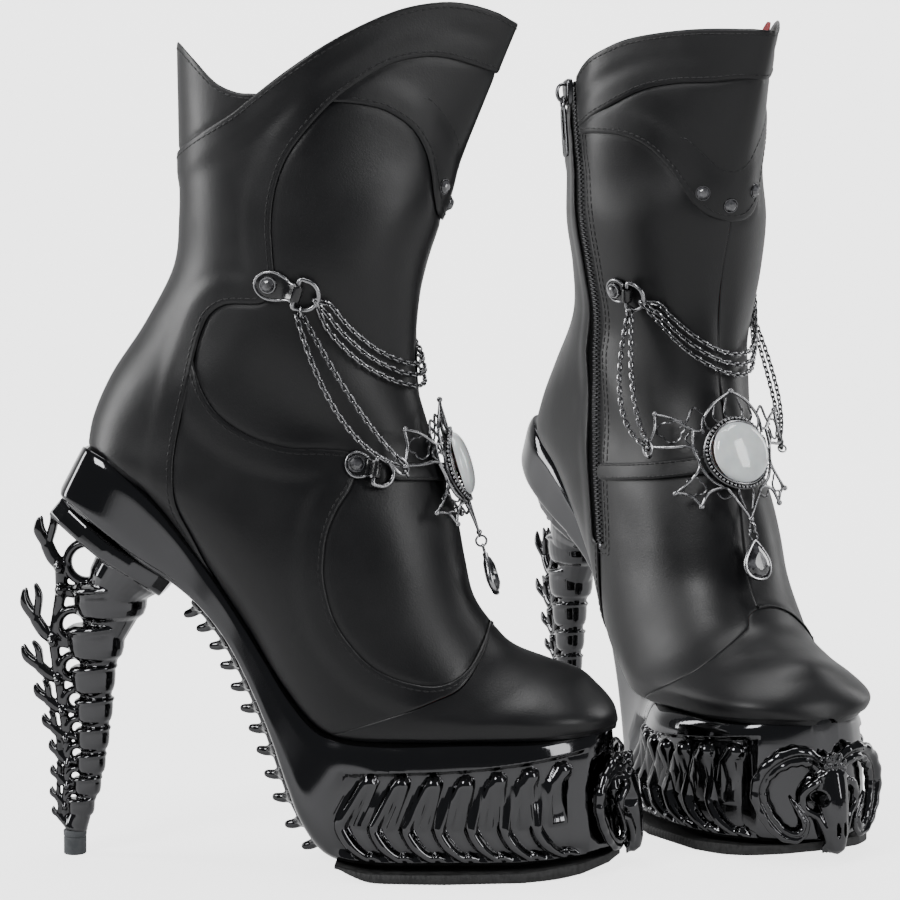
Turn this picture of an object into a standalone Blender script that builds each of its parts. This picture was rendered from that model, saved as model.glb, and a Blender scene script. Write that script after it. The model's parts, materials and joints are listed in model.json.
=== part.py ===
"""A pair of high-heeled platform ankle boots with a vertebra-shaped heel, built as separate pieces.

One boot is modelled in millimetres in its own frame: +X to the toe, +Z up, the floor at Z = 0 and the
heel tip's centre at X = 0. The outer (lateral) side faces -Y and the inner (medial) side +Y, as on a
right boot. Each piece is then placed twice: as it is for the right boot, and mirrored for the left one.
"""

import math

import bmesh
import bpy
import numpy as np
from mathutils import Matrix, Vector

MM = 0.001

# Where each boot stands: heel-tip position in millimetres and the turn of its toe from +X, in degrees.
RIGHT_STAND = (-152.621, -73.147, -3.3)
LEFT_STAND = (53.379, 110.253, -64.4)

LEATHER = 1.3
LINING = 1.0
INSOLE_SHARE = 0.6
GAP = 0.35
FRONT_GAP = 0.9

# One row for each station of the upper, from above the cuff down the shaft and along the foot:
# front x, z | back x, z | lateral and medial half width | where it is widest, as a share from front to
# back | roundness in front, behind on the lateral side, and behind on the medial side (2 is an ellipse,
# less is pointed, more is boxy).
STATIONS = np.array(
    [
        (188.5, 353, 42, 353, 40, 41, 0.58, 1.15, 2.0, 2.0),
        (177.2, 327, 41, 327, 40, 42, 0.56, 1.18, 2.0, 2.0),
        (165, 299, 41.5, 299, 40, 42.5, 0.54, 1.30, 2.0, 2.0),
        (154.7, 275, 42, 275, 40.5, 41.5, 0.52, 1.50, 2.0, 2.0),
        (147.4, 255, 42, 255, 40.8, 41, 0.50, 1.85, 2.0, 2.0),
        (140.9, 235, 39.6, 235, 40.5, 36.5, 0.50, 2.0, 1.85, 1.85),
        (137.3, 213, 27.9, 213, 38.5, 31.5, 0.50, 2.0, 1.65, 1.6),
        (137.8, 192, 13.9, 191, 37.5, 31.5, 0.52, 2.0, 1.85, 1.8),
        (142, 172, 6.5, 171, 36, 33, 0.54, 2.0, 2.2, 2.2),
        (148.3, 153, 9.5, 157.5, 37, 33.5, 0.55, 2.05, 2.8, 2.8),
        (153.7, 135, 33, 143.5, 39, 33.5, 0.57, 2.1, 3.6, 3.3),
        (156.6, 119, 51.5, 120, 40.5, 33.5, 0.58, 2.15, 3.2, 2.8),
        (160.2, 104, 67.5, 96, 41, 34, 0.60, 2.15, 2.8, 2.4),
        (168.6, 92, 84, 71, 41.5, 37, 0.62, 2.1, 3.6, 2.2),
        (176.6, 84.8, 103, 54, 42, 40.5, 0.64, 1.95, 5.5, 1.8),
        (191, 79.6, 129, 50.5, 42, 42, 0.62, 1.65, 5.0, 3.2),
        (202.5, 75.6, 154, 50.5, 40.5, 40.5, 0.60, 1.55, 5.0, 4.2),
        (209, 69.8, 179, 50.5, 36.5, 36.5, 0.56, 1.65, 4.5, 4.5),
        (213.3, 65, 197, 50.5, 28.4, 28.4, 0.50, 1.8, 4.0, 4.0),
        (215.8, 61, 209.5, 50.5, 17.0, 17.0, 0.45, 1.9, 3.0, 3.0),
        (217.0, 56, 216.0, 50.5, 5.0, 5.0, 0.45, 2.0, 2.0, 2.0),
    ]
)

# Seams as lines seen from the side, x and z in millimetres, first for the lateral side, then the medial.
# Each runs past the boot's outline at its ends. The side on its left belongs to one panel, the right to
# the other.
RIM = {
    "lateral": [(20, 272), (41, 281), (50, 286), (66, 295), (75, 302), (90, 313), (110, 326), (130, 336),
                (146, 340), (158, 340), (170, 337), (179, 333), (200, 326)],
    "medial": [(20, 272), (41, 281), (50, 286), (60, 293), (68, 301), (75, 312), (82, 321), (94, 327),
               (110, 331), (127, 334.6), (150, 336.5), (165, 336), (179, 333), (200, 326)],
}
COLLAR_RIM = {
    "lateral": [(20, 330), (38, 326), (42, 324.5), (46, 321), (52, 315), (60, 307), (68, 303), (75, 302),
                (90, 302)],
    "medial": [(20, 330), (38, 326), (42, 324.5), (46, 321), (52, 316), (60, 310), (67, 306), (74, 304),
               (90, 302)],
}
SWEEP = {
    "lateral": [(200, 305), (169.6, 311.6), (147.4, 316.8), (130, 314), (116.4, 306), (106.8, 298.4),
                (97, 287.6), (90, 278), (86, 268.4), (84, 259), (83.4, 250), (84, 240), (84.5, 228),
                (80, 221.5), (66, 220.8), (59, 217), (55.6, 210.8), (53, 202), (50, 186.4), (46, 168),
                (44.8, 156), (46, 142.7), (52, 130), (60, 112)],
    "medial": [(200, 305), (169.6, 311.6), (155, 311.3), (140, 311.3), (126, 309), (110, 302.3),
               (97, 296.5), (90, 291), (91, 262), (89, 233), (85, 197), (88.5, 154), (93, 118), (93, 60)],
}
YOKE_EDGE = {
    "lateral": [(80, 297), (106.8, 298.4), (121.2, 297), (129, 294.4), (136.8, 288.8), (141.6, 280.8),
                (143.6, 272), (144.6, 262), (147, 253), (160, 244)],
    "medial": [(60, 289), (76, 288.5), (92, 288), (106, 286), (118, 282), (128, 276), (136, 268),
               (141, 261), (147, 253), (160, 244)],
}
FOXING = {
    "lateral": [(40, 222), (50, 205), (53, 196), (57, 186), (64, 177), (76, 169.6), (90, 165.5), (102, 165),
                (113, 163.5), (116, 158), (113.5, 150), (108.5, 142), (105, 133), (103.8, 124), (104, 114.6),
                (107.6, 101), (114.8, 90), (124, 81.5), (136, 76.5), (147.6, 75), (157, 79), (163, 87),
                (167.5, 98), (172, 112)],
}
TOE_SEAM = {
    "lateral": [(178, 112), (168.5, 98), (163.5, 84), (156, 74), (146, 69.5), (134, 65), (122, 61),
                (108, 56), (98, 50)],
    "medial": [(178, 112), (168.5, 98), (169, 92), (172, 87), (174, 81.5), (174, 76), (170.5, 69.5),
               (161, 63.3), (150, 58.5), (139, 53.5), (130, 48)],
}
# The collar's inner layer reaches this far forward.
COLLAR_FRONT = 95.0
# Where the upper meets the sole unit, seen from the side.
FEATHER = [(-20, 165.5), (8, 163.7), (22, 157), (36, 145.2), (54, 122), (70, 98), (87, 73), (102, 57.6),
           (112, 54.9), (130, 54.4), (180, 54.4), (210, 55.4), (240, 56)]
# The zip's middle line on the medial side, from above the rim down.
ZIP_LINE = [(81.5, 325), (86, 300), (90, 275), (91, 255), (89.5, 233), (85, 197), (88.5, 154), (93, 118),
            (94, 105)]
ZIP_HALF_GAP = 5.0
ZIP_BOTTOM = 114.0
ZIP_TOP = 316.0
SLIDER_LIFT = 1.8
SLIDER_TRAVEL = 55.0

# Rows of the moulded sole unit from the back of the heel seat to the toe: top x, z | underside x, z |
# lateral and medial half width.
SOLE_ROWS = [
    (5.0, 163.2, -4.0, 146.0, 12.0, 12.0),
    (9.0, 163.0, -1.0, 142.0, 22.0, 22.0),
    (22.0, 156.3, 13.0, 131.5, 27.5, 27.5),
    (36.0, 144.5, 30.0, 118.5, 27.0, 25.5),
    (50.5, 126.0, 44.0, 109.5, 25.5, 22.0),
    (61.5, 110.5, 55.0, 100.0, 26.5, 19.0),
    (71.0, 96.0, 65.0, 87.0, 27.5, 17.5),
    (80.0, 82.5, 74.0, 70.0, 30.0, 18.0),
    (89.5, 68.5, 81.5, 53.0, 33.5, 19.0),
    (101.0, 57.0, 87.5, 36.0, 36.5, 20.5),
    (113.0, 54.3, 94.0, 20.0, 39.5, 23.0),
    (126.0, 54.0, 104.0, 8.0, 41.0, 27.0),
    (142.0, 54.0, 121.0, 4.4, 43.0, 36.0),
    (160.0, 54.0, 150.0, 4.4, 43.0, 42.0),
    (182.0, 54.0, 180.0, 4.4, 38.5, 38.5),
    (200.0, 54.3, 202.0, 6.0, 28.5, 28.5),
    (210.0, 54.8, 213.0, 7.4, 17.0, 17.0),
    (214.5, 55.0, 217.5, 8.6, 6.0, 6.0),
]

# How boxy the sole unit's section is.
SOLE_POWER = 7

# The heel's vertebrae, from the top: centre x, z | half depth | half height.
VERTEBRAE = [
    (13.5, 101.0, 14.5, 7.4),
    (8.0, 84.5, 11.0, 7.4),
    (7.0, 69.6, 8.4, 6.0),
    (7.4, 57.2, 7.0, 5.2),
    (7.0, 46.0, 6.1, 4.8),
    (6.2, 36.0, 5.4, 4.2),
    (4.8, 27.0, 5.0, 3.8),
    (2.4, 18.6, 4.8, 3.6),
]
HEEL_TIP_RADIUS = 4.7
HEEL_TIP_HEIGHT = 9.5

# The stations that the leather panels are drawn through.
PANEL_ROWS = (0.15, 1, 2, 3, 4.2, 5.6, 6.8, 7.6, 8.3, 9.2, 10.4, 11.8, 13, 14.2, 15.6, 17.2, 18.6, 19.9)
LINING_ROWS = (0.15, 1.5, 3, 4.2, 5.6, 6.8, 7.6, 8.3, 9.2, 10.4, 11.8, 13, 14.2, 15.6, 17.2, 18.6)

# Where the hardware sits, seen from the side.
RING_LATERAL = (93.0, 225.5)
RING_MEDIAL = (113.0, 223.0)
TAB_LOWER = (121.5, 156.0)
# The yoke's studs, as station and turn.
STUDS = [(3.47, -0.127), (3.73, -0.023), (3.4, 0.103)]
# The strap's middle line, as station and turn.
STRAP = [(9.62, -0.44), (9.4, -0.3), (9.18, -0.16), (9.0, 0.0), (8.92, 0.12), (8.88, 0.235)]
MEDALLION_Z = 155.0
STONE_RADIUS = 12.5
WIRE = 0.95


# ---------------------------------------------------------------- the upper's surface


def station(s):
    """The station row at a fractional index, by a smooth curve through the rows."""
    last = len(STATIONS) - 1
    s = min(max(s, 0.0), last - 1e-9)
    i = int(s)
    t = s - i
    a, b, c, d = (STATIONS[min(max(k, 0), last)] for k in (i - 1, i, i + 1, i + 2))
    return b + 0.5 * t * (c - a + t * (2 * a - 5 * b + 4 * c - d + t * (3 * (b - c) + d - a)))


def skin(s, turn):
    """A point on the leather's outer face. turn runs 0 at the front to 1 at the back on the lateral
    side, and 0 to -1 on the medial side."""
    fx, fz, bx, bz, lateral, medial, widest, front, back_lateral, back_medial = station(s)
    width, back = (lateral, back_lateral) if turn > 0 else (medial, back_medial)
    angle = abs(turn) * math.pi
    c, side = math.cos(angle), max(math.sin(angle), 0.0)
    if c >= 0:
        share, out = widest * (1 - c ** (2 / front)), side ** (2 / front)
    else:
        share, out = widest + (1 - widest) * (-c) ** (2 / back), side ** (2 / back)
    y = -math.copysign(width * out, turn)
    return Vector((fx + (bx - fx) * share, y, fz + (bz - fz) * share))


def normal(s, turn):
    """The outward direction of the leather there."""
    down = skin(s + 0.05, turn) - skin(s - 0.05, turn)
    around = skin(s, min(turn + 0.01, 1)) - skin(s, max(turn - 0.01, -1))
    return around.cross(down).normalized()


def find(x, z, side):
    """The station and turn of the leather seen at x, z from one side: 1 lateral, -1 medial."""

    def across(s):
        fx, fz, bx, bz = station(s)[:4]
        return (bx - fx) * (z - fz) - (bz - fz) * (x - fx)

    steps = np.linspace(0.3, len(STATIONS) - 1.6, 120)
    values = [across(s) for s in steps]
    pairs = list(zip(values, values[1:]))
    low = next(i for i, (here, after) in enumerate(pairs) if here <= 0 < after or here >= 0 > after)
    a, b = steps[low], steps[low + 1]
    for _ in range(30):
        mid = (a + b) / 2
        a, b = (mid, b) if across(a) * across(mid) > 0 else (a, mid)
    fx, fz, bx, bz, _, _, widest, front, back_lateral, back_medial = station(a)
    back = back_lateral if side > 0 else back_medial
    share = ((x - fx) * (bx - fx) + (z - fz) * (bz - fz)) / ((bx - fx) ** 2 + (bz - fz) ** 2)
    share = min(max(share, 0.0), 1.0)
    if share <= widest:
        angle = math.acos((1 - share / widest) ** (front / 2))
    else:
        angle = math.acos(-(((share - widest) / (1 - widest)) ** (back / 2)))
    return a, side * angle / math.pi


def on_leather(x, z, side, lift=0.0):
    """A point seen at x, z from one side, lifted off the leather, and the outward direction there."""
    s, turn = find(x, z, side)
    out = normal(s, turn)
    return skin(s, turn) + out * lift, out


def around_front(z, turn, lift=0.0):
    """A point at height z on the front line, carried round the boot by turn along its station."""
    s = next(k for k in np.arange(0.5, 18, 0.02) if station(k)[1] <= z)
    out = normal(s, turn)
    return skin(s, turn) + out * lift, out


# ---------------------------------------------------------------- mesh helpers


def smooth_line(points, steps=4):
    """A smooth line through the points."""
    p = [np.array(q, float) for q in points]
    line = []
    for i in range(len(p) - 1):
        a, b, c, d = (p[min(max(k, 0), len(p) - 1)] for k in (i - 1, i, i + 1, i + 2))
        for t in np.linspace(0, 1, steps, endpoint=False):
            line.append(b + 0.5 * t * (c - a + t * (2 * a - 5 * b + 4 * c - d + t * (3 * (b - c) + d - a))))
    return line + [p[-1]]


def line_field(points):
    """The signed distance in the side view from a line: above it on the left of its direction."""
    line = np.array(smooth_line(points, 3))
    a, run = line[:-1], line[1:] - line[:-1]
    length = (run**2).sum(1)
    unit = run / np.sqrt(length)[:, None]

    def field(x, z):
        off = np.array((x, z)) - a
        t = np.clip((off * run).sum(1) / length, 0, 1)
        gap = off - run * t[:, None]
        distance = np.sqrt((gap**2).sum(1))
        near = int(np.argmin(distance))
        along = unit[near]
        if t[near] == 1 and near + 1 < len(run):
            along = along + unit[near + 1]
        if t[near] == 0 and near > 0:
            along = along + unit[near - 1]
        return math.copysign(distance[near], along[0] * gap[near, 1] - along[1] * gap[near, 0])

    return field


def side_field(seam):
    """A seam's field, with its own line on each side of the boot, blended across the middle."""
    lateral = line_field(seam["lateral"])
    medial = line_field(seam.get("medial", seam["lateral"]))

    def field(p):
        share = min(max((p.y + 8) / 16, 0), 1)
        return lateral(p.x, p.z) * (1 - share) + medial(p.x, p.z) * share

    return field


def cut(bm, field):
    """Cuts the mesh along field = 0 and returns each vertex's field."""
    value = {v: field(v.co) or 1e-6 for v in bm.verts}
    crossed = []
    for edge in list(bm.edges):
        a, b = edge.verts
        if value[a] * value[b] >= 0:
            continue
        share = value[a] / (value[a] - value[b])
        if share < 0.02 or share > 0.98:
            snapped = a if share < 0.5 else b
            value[snapped] = 0.0
            crossed.append(snapped)
            continue
        _, new = bmesh.utils.edge_split(edge, a, share)
        value[new] = 0.0
        crossed.append(new)
    bmesh.ops.connect_verts(bm, verts=list(set(crossed)), check_degenerate=False)
    return value


def clip(bm, field):
    """Cuts the mesh along field = 0 and keeps the part where the field is positive."""
    value = cut(bm, field)
    lost = [f for f in bm.faces if min(value[v] for v in f.verts) < 0]
    bmesh.ops.delete(bm, geom=lost, context="FACES")


def largest_part(bm):
    """Removes every loose scrap but the largest connected part."""
    left, parts = set(bm.faces), []
    while left:
        stack, part = [left.pop()], []
        while stack:
            face = stack.pop()
            part.append(face)
            for edge in face.edges:
                for other in edge.link_faces:
                    if other in left:
                        left.remove(other)
                        stack.append(other)
        parts.append(part)
    parts.sort(key=len)
    bmesh.ops.delete(bm, geom=[f for part in parts[:-1] for f in part], context="FACES")


def skin_grid(rows, columns, depth=0.0):
    """A mesh of the leather's face, sunk inwards by depth, from the cuff to the closed toe."""
    bm = bmesh.new()
    rings = []
    for s in rows:
        ring = []
        for k in range(columns):
            turn = -1 + 2 * k / columns
            point = skin(s, turn) - normal(s, turn) * min(depth, station(s)[4] * 0.4)
            ring.append(bm.verts.new(point))
        rings.append(ring)
    for upper, lower in zip(rings, rings[1:]):
        for k in range(columns):
            n = (k + 1) % columns
            bm.faces.new((upper[k], upper[n], lower[n], lower[k]))
    bm.faces.new(rings[-1])
    bmesh.ops.recalc_face_normals(bm, faces=bm.faces)
    bmesh.ops.triangulate(bm, faces=bm.faces)
    return bm


def to_mesh(bm, name):
    """Turns a bmesh in millimetres into a mesh in metres."""
    bmesh.ops.recalc_face_normals(bm, faces=bm.faces)
    bmesh.ops.scale(bm, vec=(MM, MM, MM), verts=bm.verts)
    mesh = bpy.data.meshes.new(name)
    bm.to_mesh(mesh)
    bm.free()
    return mesh


def with_modifiers(mesh, *modifiers):
    """The mesh with modifiers applied. Each is a type and its settings."""
    for kind, settings in modifiers:
        holder = bpy.data.objects.new("holder", mesh)
        bpy.context.scene.collection.objects.link(holder)
        modifier = holder.modifiers.new(kind, kind)
        for key, value in settings.items():
            setattr(modifier, key, value)
        graph = bpy.context.evaluated_depsgraph_get()
        mesh = bpy.data.meshes.new_from_object(holder.evaluated_get(graph))
        bpy.data.objects.remove(holder)
    return mesh


def shell(bm, name, thickness, offset=-1.0):
    """A closed sheet from a face mesh."""
    mesh = to_mesh(bm, name)
    settings = {"thickness": thickness * MM, "offset": offset, "use_quality_normals": True}
    return with_modifiers(mesh, ("SOLIDIFY", settings))


def boolean(mesh, other, operation):
    """The mesh joined with, or cut by, another closed mesh."""
    tool = bpy.data.objects.new("tool", other)
    bpy.context.scene.collection.objects.link(tool)
    settings = {"operation": operation, "solver": "EXACT", "object": tool}
    mesh = with_modifiers(mesh, ("BOOLEAN", settings))
    bpy.data.objects.remove(tool)
    return mesh


def fuse(name, pieces, voxel, triangles, keep_off=None):
    """One moulded body from overlapping closed pieces, melted together, cut clear of another body if
    one is given, and thinned to a triangle count."""
    whole = bmesh.new()
    for piece in pieces:
        mesh = to_mesh(piece, name)
        whole.from_mesh(mesh)
        bpy.data.meshes.remove(mesh)
    mesh = bpy.data.meshes.new(name)
    whole.to_mesh(mesh)
    whole.free()
    mesh = with_modifiers(mesh, ("REMESH", {"mode": "VOXEL", "voxel_size": voxel * MM}))
    if keep_off:
        mesh = boolean(mesh, keep_off, "DIFFERENCE")
    thin = {"ratio": triangles / (2 * len(mesh.polygons))}
    mesh = with_modifiers(mesh, ("TRIANGULATE", {}), ("DECIMATE", thin), ("TRIANGULATE", {}))
    body = bmesh.new()
    body.from_mesh(mesh)
    largest_part(body)
    body.to_mesh(mesh)
    body.free()
    return mesh


def loft(rings, closed=False):
    """A closed body through rings of equal length, capped at its ends or joined into a loop."""
    bm = bmesh.new()
    made = [[bm.verts.new(p) for p in ring] for ring in rings]
    count = len(made[0])
    following = made[1:] + made[:1] if closed else made[1:]
    for upper, lower in zip(made, following):
        for k in range(count):
            n = (k + 1) % count
            bm.faces.new((upper[k], upper[n], lower[n], lower[k]))
    if not closed:
        bm.faces.new(made[0][::-1])
        bm.faces.new(made[-1])
    return bm


def sweep(path, up, section, closed=False):
    """A body with the section (across, up) carried along the path. up and section may be lists with one
    entry for each point of the path."""
    path = [Vector(p) for p in path]
    count = len(path)
    rings = []
    for i, point in enumerate(path):
        before = path[i - 1] if closed or i else point
        after = path[(i + 1) % count] if closed or i < count - 1 else point
        along = (after - before).normalized()
        across = along.cross(Vector(up[i] if isinstance(up, list) else up)).normalized()
        upward = across.cross(along)
        outline = section[i] if isinstance(section, list) else section
        rings.append([point + across * a + upward * b for a, b in outline])
    return loft(rings, closed)


def turns(count):
    """Equal steps round a full turn."""
    return [2 * math.pi * k / count for k in range(count)]


def circle(radius, sides, squash=1.0):
    """A round section."""
    return tuple((radius * math.cos(a), radius * squash * math.sin(a)) for a in turns(sides))


def plate(half_width, low, high):
    """A flat rectangular section."""
    return ((-half_width, low), (half_width, low), (half_width, high), (-half_width, high))


def rod(points, radii, sides=8, up=(0, 1, 0)):
    """A rod of changing radius through the points."""
    return sweep(points, up, [circle(r, sides) for r in radii])


def ball(centre, radii):
    """An egg of three half sizes."""
    bm = bmesh.new()
    matrix = Matrix.Translation(centre) @ Matrix.Diagonal((*radii, 1))
    bmesh.ops.create_icosphere(bm, subdivisions=2, radius=1, matrix=matrix)
    return bm


# ---------------------------------------------------------------- the upper


def panel(name, conditions, thickness=LEATHER):
    """A leather panel: the part of the skin where every field, times its sign, is past the gap."""
    bm = skin_grid(PANEL_ROWS, 18)
    cut_zip_slot(bm)
    for field, sign in conditions:
        clip(bm, lambda p, f=field, k=sign: k * f(p) - GAP)
    largest_part(bm)
    return shell(bm, name, thickness)


def feather(p):
    """Above the line where the upper meets the sole."""
    return FEATHER_FIELD(p.x, p.z) - 0.3


def zip_x(z):
    """Where the zip's middle line is at a height."""
    return float(np.interp(z, [q[1] for q in ZIP_LINE][::-1], [q[0] for q in ZIP_LINE][::-1]))


def zip_offset(p):
    """How far in front of the zip's middle line a point of the medial side is."""
    return p.x - zip_x(p.z)


def cut_zip_slot(bm):
    """Opens the slot that the zip fills."""
    half, low = ZIP_HALF_GAP + GAP, ZIP_BOTTOM - 1
    cut(bm, lambda p: zip_offset(p) - half if p.y > 6 else 1.0)
    cut(bm, lambda p: zip_offset(p) + half if p.y > 6 else 1.0)
    cut(bm, lambda p: p.z - low if p.y > 6 and abs(zip_offset(p)) < 30 else 1.0)
    middles = {f: f.calc_center_median() for f in bm.faces}
    lost = [f for f, p in middles.items() if p.y > 6 and p.z > low and abs(zip_offset(p)) < half]
    bmesh.ops.delete(bm, geom=lost, context="FACES")


def upper_panels():
    """The seven leather panels."""
    rim, collar, sweep_seam = side_field(RIM), side_field(COLLAR_RIM), side_field(SWEEP)
    yoke_edge, foxing, toe = side_field(YOKE_EDGE), side_field(FOXING), side_field(TOE_SEAM)

    def lateral(p):
        return -p.y - FRONT_GAP

    def medial(p):
        return p.y - FRONT_GAP

    panels = {
        "rear_quarter": [(rim, -1), (sweep_seam, -1), (feather, 1)],
        "collar_back": [(collar, -1), (rim, 1), (lambda p: COLLAR_FRONT - p.x, 1)],
        "yoke": [(sweep_seam, 1), (yoke_edge, 1)],
        "front_lateral": [(lateral, 1), (sweep_seam, 1), (yoke_edge, -1), (foxing, 1), (toe, -1)],
        "front_medial": [(medial, 1), (sweep_seam, 1), (yoke_edge, -1), (toe, -1),
                         (feather, 1)],
        "quarter_lateral": [(lateral, 1), (sweep_seam, 1), (foxing, -1), (toe, -1), (feather, 1)],
        "toe_cap": [(lambda p: toe(p) - 0.4, 1), (feather, 1)],
    }
    made = {name: panel(name, conditions) for name, conditions in panels.items()}
    for s, turn in STUDS:
        made["yoke"] = boolean(made["yoke"], stud(s, turn), "UNION")
    return made


def stud(s, turn):
    """A faceted stud set in the leather."""
    centre, out = skin(s, turn), normal(s, turn)
    across = out.cross(Vector((0, 0, 1))).normalized()
    up = across.cross(out)
    rings = [[centre + out * w + across * r * a + up * r * b for a, b in circle(1, 8)]
             for w, r in ((-0.6, 2.8), (0.6, 2.8), (1.5, 1.7))]
    return to_mesh(loft(rings), "stud")


# ---------------------------------------------------------------- lining, insole and zip


def lining_sheet():
    """The lining inside the whole upper, down to the insole."""
    rim, collar = side_field(RIM), side_field(COLLAR_RIM)

    def below_top(p):
        return max(-rim(p), min(-collar(p), COLLAR_FRONT - 5 - p.x)) - 2

    bm = skin_grid(LINING_ROWS, 18, LEATHER + 2.2)
    clip(bm, below_top)
    clip(bm, lambda p: feather(p) - 4)
    largest_part(bm)
    return shell(bm, "lining", LINING)


def insole_plate():
    """The footbed that lies on the sole unit inside the lining."""
    rows = [(15.5, 159.6, 25.0, 25.0)] + [(row[0], row[1], row[4], row[5]) for row in SOLE_ROWS[2:-1]]
    rings = []
    for (x, z, lateral, medial), (x2, z2, _, _) in zip(rows, rows[1:]):
        up = Vector((z - z2, 0, x2 - x)).normalized()
        base = Vector((x, (medial - lateral) / 2, z)) + up * 0.5
        half = INSOLE_SHARE * (lateral + medial) / 2
        outline = ((-1, 0), (0, 0), (1, 0), (1, 1), (0, 1.3), (-1, 1))
        rings.append([base + Vector((0, half * a, 0)) + up * 2.0 * b for a, b in outline])
    return to_mesh(loft(rings), "insole")


def zip_strip():
    """The zip's tapes and closed teeth, filling the slot between the leather panels."""
    spots = [on_leather(zip_x(z), z, -1, -1.2) for z in np.linspace(ZIP_BOTTOM + 0.5, ZIP_TOP, 18)]
    section = ((-4.5, 0), (4.5, 0), (4.5, 0.9), (2.4, 0.9), (2.1, 2.0), (-2.1, 2.0), (-2.4, 0.9), (-4.5, 0.9))
    return to_mesh(sweep([p for p, _ in spots], [out for _, out in spots], section), "zip_chain")


def zip_frame():
    """Where the zip slider starts: its centre above the teeth, up along the zip, across, and outward."""
    top, out = on_leather(zip_x(ZIP_TOP - 6), ZIP_TOP - 6, -1)
    low, _ = on_leather(zip_x(ZIP_TOP - 6 - SLIDER_TRAVEL), ZIP_TOP - 6 - SLIDER_TRAVEL, -1)
    up = (top - low).normalized()
    across = up.cross(out).normalized()
    outward = across.cross(up)
    return top + outward * SLIDER_LIFT, up, across, outward


def in_frame(frame, across, up, outward):
    """A point given along a frame's three directions."""
    origin, along, side, out = frame
    return origin + side * across + along * up + out * outward


def zip_slider_body():
    """The slider: a shield-shaped plate with an arched bridge that the pull hangs from."""
    frame = zip_frame()
    shield = [(4.0, 5.5), (4.2, 1.5), (3.2, -3.0), (2.2, -5.5)]
    outline = shield + [(-a, b) for a, b in shield[::-1]]
    levels = ((0, 1), (1.6, 1), (2.1, 0.85))
    rings = [[in_frame(frame, a * k, b * k, w) for a, b in outline] for w, k in levels]
    plate_mesh = to_mesh(loft(rings), "zip_slider")
    arch = [(3.4, 1.2), (3.6, 3.2), (2.6, 4.9), (0, 5.6), (-2.6, 4.9), (-3.6, 3.2), (-3.4, 1.2)]
    path = [in_frame(frame, 0, u, w) for u, w in arch]
    bridge = to_mesh(sweep(path, frame[2], circle(0.75, 6)), "bridge")
    return boolean(plate_mesh, bridge, "UNION")


def zip_pull_body():
    """The pull: a ring through the slider's bridge and a long flat tongue."""
    frame = zip_frame()
    eye = [in_frame(frame, a, b - 4.2, 3.4) for a, b in circle(2.4, 8)]
    ring = to_mesh(sweep(eye, frame[3], circle(0.55, 6), closed=True), "eye")
    tongue = [(-6.8, 1.2), (-8.5, 1.5), (-12, 2.4), (-20, 3.0), (-25.5, 2.4), (-27.5, 1.0)]
    rings = [[in_frame(frame, a * w, u, 3.4 + b) for a, b in ((-1, -0.5), (1, -0.5), (1, 0.5), (-1, 0.5))]
             for u, w in tongue]
    return boolean(ring, to_mesh(loft(rings), "tongue"), "UNION")


# ---------------------------------------------------------------- sole unit


def superellipse(steps, power):
    """Points round a boxy unit outline."""
    outline = []
    for k in range(steps):
        a = 2 * math.pi * (k + 0.5) / steps
        outline.append((math.copysign(abs(math.cos(a)) ** (2 / power), math.cos(a)),
                        math.copysign(abs(math.sin(a)) ** (2 / power), math.sin(a))))
    return outline


def sole_loft(grow=0.0):
    """The smooth body of the sole unit, optionally grown on all sides."""
    rings = []
    for i, (tx, tz, ux, uz, lateral, medial) in enumerate(SOLE_ROWS):
        middle = Vector(((tx + ux) / 2, 0, (tz + uz) / 2))
        half = Vector(((tx - ux) / 2, 0, (tz - uz) / 2))
        half *= 1 + grow / half.length
        end = grow * ((i == len(SOLE_ROWS) - 1) - (i == 0))
        widths = [medial + grow if a > 0 else lateral + grow for a, _ in superellipse(20, SOLE_POWER)]
        rings.append([middle + half * b + Vector((end, w * a, 0))
                      for w, (a, b) in zip(widths, superellipse(20, SOLE_POWER))])
    return loft(rings)


def sole_width(x, side):
    """The sole unit's half width on one side, 1 lateral or -1 medial."""
    xs = [(row[0] + row[2]) / 2 for row in SOLE_ROWS]
    return float(np.interp(x, xs, [row[4] if side > 0 else row[5] for row in SOLE_ROWS]))


def sole_side(x, z, side):
    """How far out the sole unit's wall is at a place seen from one side, below the foot's ball."""
    level = min(abs(z - 29.5) / 25.5, 0.98)
    return -side * sole_width(x, side) * (1 - level**SOLE_POWER) ** (1 / SOLE_POWER)


def ribs(side):
    """Seven bone-like ribs on one side: a short upper bone, a knuckle and a long curved lower bone."""
    bones = []
    for i in range(7):
        x = 114 + 12.6 * i
        rise = 1.6 * max(i - 4, 0)
        upper = [(x + 6, 36 + rise), (x + 3, 29 + rise), (x, 23)]
        lower = [(x, 22), (x + 0.5, 16), (x + 4, 10.5), (x + 10, 7.5)]
        for line, radii in ((upper, (1.8, 2.2, 2.0)), (lower, (2.6, 2.1, 1.8, 2.4))):
            path = [(a, sole_side(a, b, side) + side * 0.3, b) for a, b in line]
            bones.append(rod(path, radii, 6, (0, side, 0)))
        for a, b, r in ((x, 22.5, 2.9), (x + 6.2, 20.5, 1.7)):
            bones.append(ball((a, sole_side(a, b, side) + side * 0.2, b), (r, r * 0.8, r)))
    return bones


def platform_body():
    """The moulded sole unit with its ribs."""
    return fuse("platform", [sole_loft()] + ribs(1) + ribs(-1), 1.4, 940)


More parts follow.
